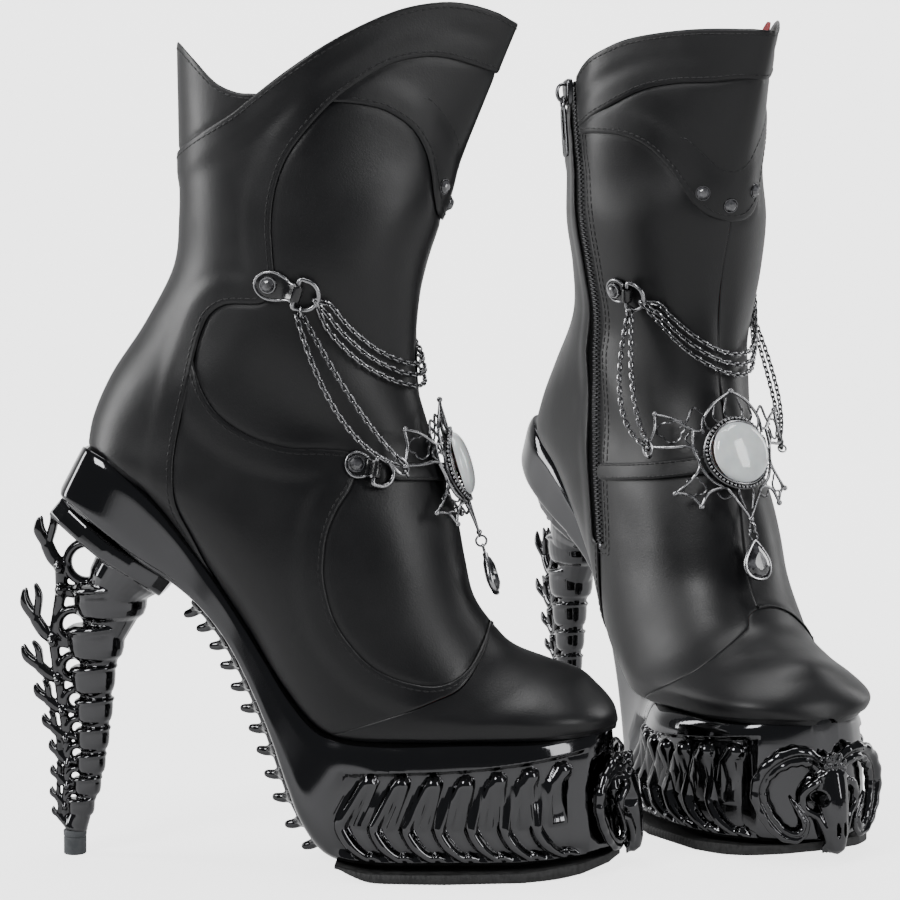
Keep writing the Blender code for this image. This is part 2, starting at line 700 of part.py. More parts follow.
def outsole_body():
    """The rubber tread under the platform, flat on the floor with a little toe spring."""
    rows = [(107, 4.6, 6.9), (114, 1.6, 5.2), (122, 0, 3.8), (135, 0, 3.9), (150, 0, 4.0), (165, 0, 4.0),
            (180, 0, 4.0), (192, 0.2, 4.8), (202, 1.4, 5.6), (211, 3.0, 6.7), (217.5, 4.4, 8.1)]
    xs = [row[2] for row in SOLE_ROWS]
    rings = []
    for x, low, high in rows:
        lateral = float(np.interp(x, xs, [row[4] for row in SOLE_ROWS])) + 0.2
        medial = float(np.interp(x, xs, [row[5] for row in SOLE_ROWS])) + 0.2
        outline = ((-0.94, low), (-0.5, low), (0, low), (0.5, low), (0.94, low), (1, low + 1.2),
                   (1, high), (0.5, high), (0, high), (-0.5, high), (-1, high), (-1, low + 1.2))
        rings.append([Vector((x, (medial if a > 0 else lateral) * a, z)) for a, z in outline])
    return to_mesh(loft(rings), "outsole")


def skull_body(clearance):
    """A small horned animal skull, facing forward and down, on the toe of the sole unit."""
    parts = [ball((216.5, 0, 30), (5.5, 9.5, 8)), ball((218.5, 0, 36), (3.5, 4.5, 4.5)),
             rod([(217, 0, 30), (220.5, 0, 20), (222, 0, 11), (221.5, 0, 5.5)], (7.5, 6.0, 4.2, 3.6), 10)]
    for side in (1, -1):
        horn = [(217, 6, 35), (217.5, 12, 39.5), (214, 19, 39), (210.5, 24.5, 32), (211.5, 23.5, 23.5),
                (216, 17.5, 20), (218.5, 13, 24), (218.3, 13.5, 28.5)]
        parts.append(rod([(x, side * y, z) for x, y, z in smooth_line(horn, 3)],
                         [3.6 - 0.13 * k for k in range(22)], 8, (1, 0, 0)))
        parts.append(ball((219, side * 7.5, 26), (3, 3.4, 2.6)))
    return fuse("toe_skull", parts, 0.75, 360, clearance)


def arch_spine_body(clearance):
    """The strip of leaf-shaped vertebrae under the arch, with blunt spikes pointing back."""
    line = [(row[2], row[3]) for row in SOLE_ROWS[4:12]]
    path = smooth_line([(x, z) for x, z in line], 6)
    spots = [path[int(k)] for k in np.linspace(2, len(path) - 3, 11)]
    parts = []
    centres = []
    for i, (x, z) in enumerate(spots):
        near = min(range(len(path) - 1), key=lambda k: abs(path[k][0] - x) + abs(path[k][1] - z))
        run = Vector((path[near + 1][0] - path[near][0], 0, path[near + 1][1] - path[near][1])).normalized()
        out = Vector((run.z, 0, -run.x))
        here = Vector((x, (sole_width(x, -1) - sole_width(x, 1)) / 2, z))
        centre = here + out * 3.2
        centres.append(centre)
        parts.append(ball(centre, (3.6, 7.5, 3.6)))
        tip = centre + out * 5.5 - run * 3.5
        parts.append(rod([centre, centre + out * 3 - run, tip], (3.2, 2.3, 1.1), 8))
        for side in (1, -1):
            wing = centre + Vector((0, side * 9.5, 0)) - run * 3
            parts.append(rod([centre, wing], (2.8, 1.3), 6, out))
    parts.append(rod(centres, [3.0] * len(centres), 8))
    return fuse("arch_spine", parts, 1.0, 400, clearance)


def heel_body(clearance):
    """The heel: a cup under the heel seat, a column of eight vertebrae and their rear processes."""
    parts = []
    cup = [(-4.2, 139.4), (4, 133.6), (14, 126.2), (25, 117.8), (36, 109.2)]
    widths = (13, 17, 19, 19, 15)
    parts.append(sweep([(x, 0, z) for x, z in cup], (0.6, 0, 0.8),
                       [plate(w, -3.0, 3.0) for w in widths]))
    parts.append(rod([(20, 0, 119), (17, 0, 112), (13.5, 0, 101)], (15, 12, 11), 12))
    core = [(x, 0, z) for x, z, _, _ in VERTEBRAE]
    parts.append(rod(core + [(1.2, 0, 11.5)], [0.62 * a for _, _, a, _ in VERTEBRAE] + [3.6], 10))
    for i, (x, z, depth, half) in enumerate(VERTEBRAE):
        rim = circle(depth, 12, 0.8)
        levels = ((-half, 0.9), (-half * 0.75, 1.0), (0, 0.8), (half * 0.75, 1.0), (half, 0.9))
        parts.append(loft([[Vector((x + k * a, k * b, z + h)) for a, b in rim] for h, k in levels]))
        reach = 9.5 - 0.6 * i + (5 if i == 0 else 0)
        rise = 9.0 - 0.5 * i + (4 if i == 0 else 0)
        knob = Vector((x - depth - reach * 0.45, 0, z - 1))
        parts.append(rod([(x - depth * 0.6, 0, z - 1), knob], (half * 0.5, half * 0.42), 8))
        parts.append(ball(knob, (2.6, 3.0, 2.8)))
        for side in (1, -1):
            finger = [knob, knob + Vector((-reach * 0.45, side * 1.6, rise * 0.3)),
                      knob + Vector((-reach * 0.62, side * 2.6, rise))]
            parts.append(rod(finger, (2.3, 2.0, 1.0), 8))
    parts.append(ball((-7.5, 0, 116), (3.2, 3.6, 3.2)))
    parts.append(rod([(4, 0, 122), (-7.5, 0, 116)], (4.5, 2.6), 8))
    for side in (1, -1):
        horn = [(-7.5, 0, 116), (-12.5, side * 2, 124), (-14, side * 3.2, 134)]
        parts.append(rod(horn, (2.6, 2.2, 1.1), 8))
    parts.append(loft([[Vector((1.2 + r * a, r * b, z)) for a, b in circle(1, 14)] for z, r in
                       ((15, 4.6), (12.5, 4.9), (10.0, 4.7))]))
    return fuse("heel_spine", parts, 1.0, 880, clearance)


def heel_tip_body():
    """The rubber top piece under the heel."""
    wide, top = HEEL_TIP_RADIUS, HEEL_TIP_HEIGHT
    levels = ((0, wide - 0.2), (1.0, wide), (top - 0.8, wide), (top, wide - 0.3))
    rings = [[Vector((a, b, z)) for a, b in circle(r, 12)] for z, r in levels]
    return to_mesh(loft(rings), "heel_tip")


# ---------------------------------------------------------------- hardware


def hanger(spot, side):
    """A ring holder's frame: the bar's centre off the leather, along the strap run, along the bar, and
    outward."""
    x, z = spot
    centre, out = on_leather(x, z, side, 3.2)
    ahead, _ = on_leather(x + 4, z - 1.2, side, 3.2)
    along = (ahead - centre).normalized()
    bar = out.cross(along).normalized()
    return centre, along, bar, bar.cross(along) * -1 if bar.cross(along).dot(out) < 0 else bar.cross(along)


def d_ring(frame, width, reach):
    """A D-ring: a straight bar and a bow in front of it."""
    centre, along, bar, out = frame
    outline = [(-width, 0), (-width / 3, 0), (width / 3, 0), (width, 0), (width, reach * 0.3)]
    outline += [(width * math.cos(a), reach * (0.35 + 0.65 * math.sin(a))) for a in np.linspace(0.35, 2.8, 6)]
    outline += [(-width, reach * 0.3)]
    path = [centre + bar * a + along * b for a, b in outline]
    return to_mesh(sweep(path, out, circle(WIRE, 6), closed=True), "ring")


def tab_body(frame, length, width):
    """A leaf-shaped tab that curls round a ring's bar."""
    centre, along, bar, out = frame
    path, up, sections = [], [], []
    for share, wide in ((1.0, 0.25), (0.82, 0.75), (0.55, 1.0), (0.3, 0.85), (0.12, 0.7)):
        path.append(centre - along * (length * share + 1.2) - out * 2.0)
        up.append(out)
        sections.append(plate(width * wide, -0.6, 0.6))
    for angle in np.radians((-90, -45, 0, 45, 90, 135)):
        path.append(centre + along * 2.0 * math.cos(angle) + out * 2.0 * math.sin(angle))
        up.append(-along * math.cos(angle) - out * math.sin(angle))
        sections.append(plate(width * 0.6, -0.55, 0.55))
    return to_mesh(sweep(path, up, sections), "tab")


def chain_body(strands, sides=5):
    """Strands joined end to end, there and back again, into one hanging bundle. A strand is a list of
    points with their outward directions."""
    path, up = [], []
    for i, strand in enumerate(strands):
        run = strand if i % 2 == 0 else strand[::-1]
        if path:
            turn = (path[-1] + run[0][0]) / 2 + (path[-1] - path[-2]).normalized() * 1.8
            path.append(turn)
            up.append(run[0][1])
        path += [point for point, _ in run]
        up += [out for _, out in run]
    return to_mesh(sweep(path, up, circle(0.9, sides)), "chain")


def swag_strands(ring_lateral, ring_medial):
    """Three strands hanging round the front between the upper rings."""
    ends = [frame[0] + frame[1] * 13 for frame in (ring_lateral, ring_medial)]
    turns = [find(end.x, end.z, side)[1] for end, side in zip(ends, (1, -1))]
    strands = []
    for k in range(3):
        strand = []
        for t in np.linspace(0, 1, 11):
            sag = (2 * t - 1) ** 2
            z = (ends[0].z + (ends[1].z - ends[0].z) * t - 5.0 * k) * sag + (197 - 4.4 * k) * (1 - sag)
            strand.append(around_front(z, turns[0] + (turns[1] - turns[0]) * t, 3.4))
        strands.append(strand)
    return strands


def drop_strands(start, end, side):
    """Two strands that hang side by side from an upper ring to a wing of the medallion."""
    out = Vector((0.35, side, 0)).normalized()
    apart = (end - start).cross(out).normalized() * side
    strands = []
    for k in (-1, 1):
        strand = []
        for t in np.linspace(0, 1, 7):
            bow = 4 * t * (1 - t)
            offset = Vector((0, side * 6 * bow, -9 * bow)) + apart * k * (1.7 + bow)
            strand.append((start.lerp(end, t) + offset, out))
        strands.append(strand)
    return strands


def medallion_frame():
    """The medallion's centre on the strap, up along its face, across, and outward."""
    spot, _ = around_front(MEDALLION_Z, 0)
    out = Vector((0.958, 0, 0.287))
    return spot + out * 6.2, Vector((-0.287, 0, 0.958)), Vector((0, 1, 0)), out


def bend(a):
    """How far back the medallion curves at a place across it."""
    return -a * a / 62


def medallion_body():
    """A pointed gothic tracery round a beaded seat, bent back at its wings."""
    frame = medallion_frame()

    def at(a, b, w=0.0):
        return in_frame(frame, a, b, w + bend(a))

    parts = []
    for radius, wire, lift in ((STONE_RADIUS + 1.5, 1.4, 0.8), (STONE_RADIUS + 4.6, 1.0, 0.0)):
        hoop = [at(a, b, lift) for a, b in circle(radius, 24)]
        parts.append(sweep(hoop, frame[3], circle(wire, 6), closed=True))
    for side in (1, -1):
        for start, middle, tip in (((side * 10, 10), (side * 15, 21), (side * 4, 27)),
                                   ((side * 4, 15), (side * 7, 20), (0, 25)),
                                   ((side * 14, 8), (side * 24, 12), (side * 29, 2)),
                                   ((side * 14, -8), (side * 24, -9), (side * 29, 2)),
                                   ((side * 10, -10), (side * 14, -20), (side * 5, -24)),
                                   ((side * 4, -15), (side * 6, -20), (0, -27))):
            curve = smooth_line([at(*start), at(*middle), at(*tip)], 3)
            parts.append(rod(curve, [1.1] * len(curve), 6, frame[3]))
        for a, b in ((side * 4, 27), (side * 29, 2), (side * 5, -24), (side * 17, 19), (side * 16, -18)):
            parts.append(ball(at(a, b), (1.9, 1.9, 1.9)))
    parts.append(rod([at(0, 16), at(0, 27.5)], (1.4, 1.0), 6, frame[3]))
    parts.append(rod([at(0, -16), at(0, -27.5)], (1.4, 1.2), 6, frame[3]))
    parts.append(loft([[at(a, b, w) for a, b in circle(14, 20)] for w in (-1.2, 0.0)]))
    return fuse("medallion", parts, 0.6, 640)


def cabochon_body():
    """The round domed stone in the medallion's seat."""
    frame = medallion_frame()
    levels = ((0.5, 0.9), (1.1, 0.98), (2.6, 0.93), (4.2, 0.75), (5.3, 0.45), (5.8, 0.15))
    radius = STONE_RADIUS - 0.6
    rings = [[in_frame(frame, a, b, w + 0.1) for a, b in circle(radius * k, 12)] for w, k in levels]
    return to_mesh(loft(rings), "cabochon")


def pendant_body():
    """A faceted drop on a jump ring, hanging under the medallion."""
    frame = medallion_frame()
    top = -32.2
    jump = [in_frame(frame, a, top + b, 0) for a, b in circle(2.4, 8)]
    ring = to_mesh(sweep(jump, frame[3], circle(0.6, 5), closed=True), "jump")
    levels = ((-2.2, 0.8), (-5, 2.2), (-9, 4.6), (-13, 5.7), (-16, 4.4), (-18, 1.6))
    rings = [[in_frame(frame, a, top + z, b * 0.55) for a, b in circle(r, 8)] for z, r in levels]
    return boolean(ring, to_mesh(loft(rings), "drop"), "UNION")


def strap_body(lower):
    """The narrow strap round the ankle, sewn round the D-ring that the lower tab holds."""
    path, up = [], []
    for s, turn in smooth_line(STRAP, 3):
        out = normal(s, turn)
        path.append(skin(s, turn) + out * 1.3)
        up.append(out)
    band = to_mesh(sweep(path, up, plate(3.7, -0.8, 0.8)), "strap")
    centre, along, bar, out = lower
    return boolean(band, d_ring((centre, (along - out * 0.24).normalized(), bar, out), 4.8, 8.5), "UNION")


def hardware():
    """The metal, chains, strap and stone."""
    lateral, medial = hanger(RING_LATERAL, 1), hanger(RING_MEDIAL, -1)
    lower = hanger(TAB_LOWER, 1)
    made = {
        "tab_upper_lateral": (tab_body(lateral, 15, 5.2), "silver"),
        "tab_upper_medial": (tab_body(medial, 13, 4.8), "silver"),
        "tab_lower": (tab_body(lower, 11, 4.8), "silver"),
        "ring_upper_lateral": (d_ring(lateral, 6.5, 9), "silver"),
        "ring_upper_medial": (d_ring(medial, 6.5, 9), "silver"),
        "strap": (strap_body(lower), "leather"),
        "swag_chain": (chain_body(swag_strands(lateral, medial)), "silver"),
        "medallion": (medallion_body(), "silver"),
        "cabochon": (cabochon_body(), "stone"),
        "pendant": (pendant_body(), "crystal"),
    }
    for name, frame, side in (("lateral", lateral, -1), ("medial", medial, 1)):
        start = frame[0] + frame[1] + Vector((0, 0, -9.5))
        wing = in_frame(medallion_frame(), side * 33, 4, bend(33))
        made[f"drop_chain_{name}"] = (chain_body(drop_strands(start, wing, side)), "silver")
    return made


# ---------------------------------------------------------------- placing


def material(name, colour, roughness, metallic):
    """A plain Principled material."""
    made = bpy.data.materials.new(name)
    made.use_nodes = True
    shader = made.node_tree.nodes["Principled BSDF"]
    shader.inputs["Base Color"].default_value = (*colour, 1)
    shader.inputs["Roughness"].default_value = roughness
    shader.inputs["Metallic"].default_value = metallic
    return made


def stand(name, place):
    """The empty that carries one boot."""
    x, y, turn = place
    empty = bpy.data.objects.new(name, None)
    empty.location = (x * MM, y * MM, 0)
    empty.rotation_euler.z = math.radians(turn)
    bpy.context.scene.collection.objects.link(empty)
    return empty


def place(name, mesh, finish, right, left):
    """Puts a piece on both boots, mirrored for the left one."""
    for side, parent in (("right", right), ("left", left)):
        copy = mesh.copy()
        if side == "left":
            copy.transform(Matrix.Scale(-1, 4, (0, 1, 0)))
            copy.flip_normals()
        copy.materials.clear()
        copy.materials.append(finish)
        made = bpy.data.objects.new(f"{side}_{name}", copy)
        made.parent = parent
        bpy.context.scene.collection.objects.link(made)


FEATHER_FIELD = line_field(FEATHER)


def main():
    for old in list(bpy.data.objects):
        bpy.data.objects.remove(old)
    right, left = stand("right_boot", RIGHT_STAND), stand("left_boot", LEFT_STAND)
    finishes = {
        "leather": material("black_leather", (0.012, 0.012, 0.014), 0.42, 0),
        "lining": material("red_lining", (0.45, 0.01, 0.015), 0.6, 0),
        "shell": material("black_chrome_shell", (0.03, 0.03, 0.034), 0.12, 0.6),
        "rubber": material("black_rubber", (0.02, 0.02, 0.02), 0.7, 0),
        "silver": material("antique_silver", (0.55, 0.55, 0.57), 0.25, 1),
        "stone": material("white_stone", (0.85, 0.84, 0.82), 0.2, 0),
        "crystal": material("smoke_crystal", (0.05, 0.05, 0.06), 0.05, 0),
        "zip": material("black_zip", (0.02, 0.02, 0.022), 0.3, 0),
    }
    clearance = to_mesh(sole_loft(0.7), "clearance")
    pieces = {name: (mesh, "leather") for name, mesh in upper_panels().items()}
    pieces["lining"] = (lining_sheet(), "lining")
    pieces["insole"] = (insole_plate(), "lining")
    pieces["zip_chain"] = (zip_strip(), "zip")
    pieces["zip_slider"] = (zip_slider_body(), "zip")
    pieces["zip_pull"] = (zip_pull_body(), "zip")
    pieces["platform"] = (platform_body(), "shell")
    pieces["outsole"] = (outsole_body(), "rubber")
    pieces["toe_skull"] = (skull_body(clearance), "shell")
    pieces["arch_spine"] = (arch_spine_body(clearance), "shell")
    pieces["heel_spine"] = (heel_body(clearance), "shell")
    pieces["heel_tip"] = (heel_tip_body(), "rubber")
    pieces.update(hardware())
    for name, (mesh, finish) in pieces.items():
        place(name, mesh, finishes[finish], right, left)


main()
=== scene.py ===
"""The looks of a pair of high-heeled platform ankle boots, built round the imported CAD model.

One boot is made in millimetres in its own frame, as on the right foot: +X to the toe, +Z up, the floor at
Z = 0, the heel tip's centre at X = 0 and the outer (lateral) side towards -Y. Each piece is then placed
twice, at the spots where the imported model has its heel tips, and mirrored for the left boot.
"""

import json
import math

import bpy
import bmesh
import numpy as np
from mathutils import Matrix, Vector


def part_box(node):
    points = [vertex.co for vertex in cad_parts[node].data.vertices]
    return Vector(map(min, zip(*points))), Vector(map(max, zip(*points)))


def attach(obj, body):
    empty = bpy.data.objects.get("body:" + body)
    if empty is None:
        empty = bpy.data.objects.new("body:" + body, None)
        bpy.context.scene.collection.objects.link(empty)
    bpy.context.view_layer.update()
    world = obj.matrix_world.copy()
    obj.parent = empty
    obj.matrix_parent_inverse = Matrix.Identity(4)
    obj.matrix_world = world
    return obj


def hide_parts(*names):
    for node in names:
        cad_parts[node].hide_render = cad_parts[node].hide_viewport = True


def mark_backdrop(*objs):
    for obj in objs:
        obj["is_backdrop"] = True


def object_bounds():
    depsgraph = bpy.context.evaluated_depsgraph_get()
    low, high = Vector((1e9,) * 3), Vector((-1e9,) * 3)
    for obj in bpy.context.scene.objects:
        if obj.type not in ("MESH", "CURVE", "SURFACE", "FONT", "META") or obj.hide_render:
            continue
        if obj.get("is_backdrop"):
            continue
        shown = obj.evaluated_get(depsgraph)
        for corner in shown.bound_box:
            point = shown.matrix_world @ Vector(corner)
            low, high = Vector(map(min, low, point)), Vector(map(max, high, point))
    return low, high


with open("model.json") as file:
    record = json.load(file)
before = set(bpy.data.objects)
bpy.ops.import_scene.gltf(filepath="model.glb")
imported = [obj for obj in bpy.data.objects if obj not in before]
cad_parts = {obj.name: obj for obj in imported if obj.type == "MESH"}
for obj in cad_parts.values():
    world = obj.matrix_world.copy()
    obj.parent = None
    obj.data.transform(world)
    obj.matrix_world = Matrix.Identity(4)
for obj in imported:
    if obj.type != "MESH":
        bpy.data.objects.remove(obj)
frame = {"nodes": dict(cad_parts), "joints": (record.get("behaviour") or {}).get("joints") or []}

CAD_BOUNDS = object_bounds()
MM = 0.001

# How finely the leather is meshed.
GRID_ROWS, GRID_COLUMNS = ((190, 200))

# One row for each station of the upper, from above the cuff down the shaft and along the foot:
# front x, z | back x, z | lateral and medial half width | where it is widest, as a share from front to
# back | roundness in front, behind on the lateral side, and behind on the medial side (2 is an ellipse,
# less is pointed, more is boxy).
STATIONS = np.array(
    [
        (188.5, 353, 42, 353, 40, 41, 0.58, 1.15, 2.0, 2.0),
        (177.2, 327, 41, 327, 40, 42, 0.56, 1.18, 2.0, 2.0),
        (165, 299, 41.5, 299, 40, 42.5, 0.54, 1.30, 2.0, 2.0),
        (154.7, 275, 42, 275, 40.5, 41.5, 0.52, 1.50, 2.0, 2.0),
        (147.4, 255, 42, 255, 40.8, 41, 0.50, 1.85, 2.0, 2.0),
        (140.9, 235, 39.6, 235, 40.5, 36.5, 0.50, 2.0, 1.85, 1.85),
        (137.3, 213, 27.9, 213, 38.5, 31.5, 0.50, 2.0, 1.65, 1.6),
        (137.8, 192, 13.9, 191, 37.5, 31.5, 0.52, 2.0, 1.85, 1.8),
        (142, 172, 6.5, 171, 36, 33, 0.54, 2.0, 2.2, 2.2),
        (148.3, 153, 9.5, 157.5, 37, 33.5, 0.55, 2.05, 2.8, 2.8),
        (153.7, 135, 33, 143.5, 39, 33.5, 0.57, 2.1, 3.6, 3.3),
        (156.6, 119, 51.5, 120, 40.5, 33.5, 0.58, 2.15, 3.2, 2.8),
        (160.2, 104, 67.5, 96, 41, 34, 0.60, 2.15, 2.8, 2.4),
        (168.6, 92, 84, 71, 41.5, 37, 0.62, 2.1, 3.6, 2.2),
        (176.6, 84.8, 103, 54, 42, 40.5, 0.64, 1.95, 5.5, 1.8),
        (191, 79.6, 129, 50.5, 42, 42, 0.62, 1.65, 5.0, 3.2),
        (202.5, 75.6, 154, 50.5, 40.5, 40.5, 0.60, 1.55, 5.0, 4.2),
        (209, 69.8, 179, 50.5, 36.5, 36.5, 0.56, 1.65, 4.5, 4.5),
        (213.3, 65, 197, 50.5, 28.4, 28.4, 0.50, 1.8, 4.0, 4.0),
        (215.8, 61, 209.5, 50.5, 17.0, 17.0, 0.45, 1.9, 3.0, 3.0),
        (217.0, 56, 216.0, 50.5, 5.0, 5.0, 0.45, 2.0, 2.0, 2.0),
    ]
)

# Seams as lines seen from the side, x and z in millimetres, first for the lateral side, then the medial.
# Each runs past the boot's outline at its ends. The side on its left belongs to one panel, the right to
# the other.
RIM = {
    "lateral": [(20, 271), (41, 280), (50, 285), (66, 293.5), (75, 300), (90, 311), (110, 324), (130, 334),
                (146, 338), (158, 338), (170, 335), (179, 331), (200, 324)],
    "medial": [(20, 271), (41, 280), (50, 284), (60, 289), (68, 295), (75, 303), (82, 311), (88, 317),
               (97, 323), (108, 327.5), (122, 331.5), (145, 333.5), (165, 333), (179, 331), (200, 324)],
}
COLLAR_RIM = {
    "lateral": [(20, 330), (38, 326), (42, 324.5), (46, 321), (52, 315), (60, 307), (68, 303), (75, 302),
                (90, 302)],
    "medial": [(20, 330), (38, 326), (42, 323), (46, 318), (52, 311), (60, 305), (67, 302), (74, 300),
               (90, 298)],
}
SWEEP = {
    "lateral": [(200, 305), (169.6, 311.6), (147.4, 316.8), (130, 314), (116.4, 306), (106.8, 298.4),
                (97, 287.6), (90, 278), (86, 268.4), (84, 259), (83.4, 250), (84, 240), (84.5, 228),
                (80, 221.5), (66, 220.8), (59, 217), (55.6, 210.8), (53, 202), (50, 186.4), (46, 168),
                (44.8, 156), (46, 142.7), (52, 130), (60, 112)],
    "medial": [(200, 305), (169.6, 311.6), (155, 311.3), (140, 311.3), (126, 309), (110, 302.3),
               (97, 296.5), (90, 291), (91, 262), (89, 233), (85, 197), (88.5, 154), (93, 118), (93, 60)],
}
YOKE_EDGE = {
    "lateral": [(80, 297), (106.8, 298.4), (121.2, 297), (129, 294.4), (136.8, 288.8), (141.6, 280.8),
                (143.6, 272), (144.6, 262), (147, 253), (160, 244)],
    "medial": [(60, 292.5), (76, 292), (92, 292), (106, 291.5), (118, 290), (128, 285), (136, 275.5),
               (141, 266), (147, 253), (160, 244)],
}
FOXING = {
    "lateral": [(40, 222), (50, 205), (53, 196), (57, 186), (64, 177), (76, 169.6), (90, 165.5), (102, 165),
                (113, 163.5), (116, 158), (113.5, 150), (108.5, 142), (105, 133), (103.8, 124), (104, 114.6),
                (107.6, 101), (114.8, 90), (124, 81.5), (136, 76.5), (147.6, 75), (157, 79), (163, 87),
                (167.5, 98), (172, 112)],
}
TOE_SEAM = {
    "lateral": [(178, 112), (168.5, 98), (163.5, 84), (156, 74), (146, 69.5), (134, 65), (122, 61),
                (108, 56), (98, 50)],
    "medial": [(178, 112), (168.5, 98), (169, 92), (172, 87), (174, 81.5), (174, 76), (170.5, 69.5),
               (161, 63.3), (150, 58.5), (139, 53.5), (130, 48)],
}
# The collar's inner layer reaches this far forward.
COLLAR_FRONT = 95.0
# Where the upper meets the sole unit, seen from the side.
FEATHER = [(-20, 165.5), (8, 163.7), (22, 157), (36, 145.2), (54, 122), (70, 98), (87, 73), (102, 57.6),
           (112, 54.9), (130, 54.4), (180, 54.4), (210, 55.4), (240, 56)]
# The zip's middle line on the medial side, from above the rim down.
ZIP_LINE = [(81.5, 325), (86, 300), (90, 275), (91, 255), (89.5, 233), (85, 197), (88.5, 154), (93, 118),
            (94, 105)]
ZIP_HALF_GAP = 5.0
ZIP_BOTTOM = 114.0
ZIP_TOP = 316.0
SLIDER_LIFT = 1.8
SLIDER_TRAVEL = 55.0

# Rows of the moulded sole unit from the back of the heel seat to the toe: top x, z | underside x, z |
# lateral and medial half width.
SOLE_ROWS = [
    (5.0, 163.2, -4.0, 146.0, 12.0, 12.0),
    (9.0, 163.0, -1.0, 142.0, 22.0, 22.0),
    (22.0, 156.3, 13.0, 131.5, 27.5, 27.5),
    (36.0, 144.5, 30.0, 118.5, 27.0, 25.5),
    (50.5, 126.0, 44.0, 109.5, 25.5, 22.0),
    (61.5, 110.5, 55.0, 100.0, 26.5, 19.0),
    (71.0, 96.0, 65.0, 87.0, 27.5, 17.5),
    (80.0, 82.5, 74.0, 70.0, 30.0, 18.0),
    (89.5, 68.5, 81.5, 53.0, 33.5, 19.0),
    (101.0, 57.0, 87.5, 36.0, 36.5, 20.5),
    (113.0, 54.3, 94.0, 20.0, 39.5, 23.0),
    (126.0, 54.0, 104.0, 8.0, 41.0, 27.0),
    (142.0, 54.0, 121.0, 4.4, 43.0, 36.0),
    (160.0, 54.0, 150.0, 4.4, 43.0, 42.0),
    (182.0, 54.0, 180.0, 4.4, 38.5, 38.5),
    (200.0, 54.3, 202.0, 6.0, 28.5, 28.5),
    (210.0, 54.8, 213.0, 7.4, 17.0, 17.0),
    (214.5, 55.0, 217.5, 8.6, 6.0, 6.0),
]

# How boxy the sole unit's section is.
SOLE_POWER = 7

# The heel's vertebrae, from the top: centre x, z | half depth | half height.
VERTEBRAE = [
    (13.5, 101.0, 14.5, 7.4),
    (8.0, 84.5, 11.0, 7.4),
    (7.0, 69.6, 8.4, 6.0),
    (7.4, 57.2, 7.0, 5.2),
    (7.0, 46.0, 6.1, 4.8),
    (6.2, 36.0, 5.4, 4.2),
    (4.8, 27.0, 5.0, 3.8),
    (2.4, 18.6, 4.8, 3.6),
]

# Where the hardware sits, seen from the side.
RING_LATERAL = (93.0, 225.5)
RING_MEDIAL = (113.0, 223.0)
TAB_LOWER = (121.5, 156.0)
# The yoke's studs, as station and turn.
STUDS = [(3.47, -0.127), (3.73, -0.023), (3.4, 0.103)]
# The strap's middle line, as station and turn.
STRAP = [(9.62, -0.44), (9.4, -0.3), (9.18, -0.16), (9.0, 0.0), (8.92, 0.12), (8.88, 0.235)]
MEDALLION_Z = 155.0
STONE_RADIUS = 12.5
WIRE = 0.95


# ---------------------------------------------------------------- the leather's surface

LAST = len(STATIONS) - 1


def station(s):
    """The station rows at fractional indices, by a smooth curve through the rows."""
    s = np.clip(np.asarray(s, float), 0, LAST - 1e-9)
    i = s.astype(int)
    t = (s - i)[..., None]
    a, b, c, d = (STATIONS[np.clip(i + k, 0, LAST)] for k in (-1, 0, 1, 2))
    return b + 0.5 * t * (c - a + t * (2 * a - 5 * b + 4 * c - d + t * (3 * (b - c) + d - a)))


def skin(s, turn):
    """Points on the leather's outer face. turn runs 0 at the front to 1 at the back on the lateral side,
    and 0 to -1 on the medial side."""
    s, turn = np.broadcast_arrays(np.asarray(s, float), np.asarray(turn, float))
    fx, fz, bx, bz, lateral, medial, widest, front, back_lateral, back_medial = np.moveaxis(station(s), -1, 0)
    back = np.where(turn > 0, back_lateral, back_medial)
    c = np.cos(np.abs(turn) * np.pi)
    side = np.clip(np.sin(np.abs(turn) * np.pi), 0, None)
    power = np.where(c >= 0, front, back)
    reach = np.abs(c) ** (2 / power)
    share = np.where(c >= 0, widest * (1 - reach), widest + (1 - widest) * reach)
    y = -np.copysign(np.where(turn > 0, lateral, medial) * side ** (2 / power), turn)
    return np.stack((fx + (bx - fx) * share, y, fz + (bz - fz) * share), -1)


def unit(v):
    """Vectors scaled to length one."""
    v = np.asarray(v, float)
    return v / np.maximum(np.linalg.norm(v, axis=-1, keepdims=True), 1e-12)


def normal(s, turn):
    """The outward direction of the leather."""
    s, turn = np.asarray(s, float), np.asarray(turn, float)
    down = skin(s + 0.05, turn) - skin(s - 0.05, turn)
    around = skin(s, np.minimum(turn + 0.01, 1)) - skin(s, np.maximum(turn - 0.01, -1))
    return unit(np.cross(around, down))


SEARCH = np.linspace(0.3, LAST - 0.6, 1500)
SEARCH_ROWS = station(SEARCH)


def find(x, z, side):
    """The station and turn of the leather seen at x, z from one side: 1 lateral, -1 medial."""
    fx, fz, bx, bz = SEARCH_ROWS[:, :4].T
    across = (bx - fx) * (z - fz) - (bz - fz) * (x - fx)
    low = int(np.argmax(across[:-1] * across[1:] <= 0))
    s = SEARCH[low] + (SEARCH[1] - SEARCH[0]) * across[low] / (across[low] - across[low + 1])
    fx, fz, bx, bz, _, _, widest, front, back_lateral, back_medial = station(s)
    back = back_lateral if side > 0 else back_medial
    share = ((x - fx) * (bx - fx) + (z - fz) * (bz - fz)) / ((bx - fx) ** 2 + (bz - fz) ** 2)
    share = min(max(share, 0.0), 1.0)
    if share <= widest:
        angle = math.acos((1 - share / widest) ** (front / 2))
    else:
        angle = math.acos(-(((share - widest) / (1 - widest)) ** (back / 2)))
    return s, side * angle / math.pi


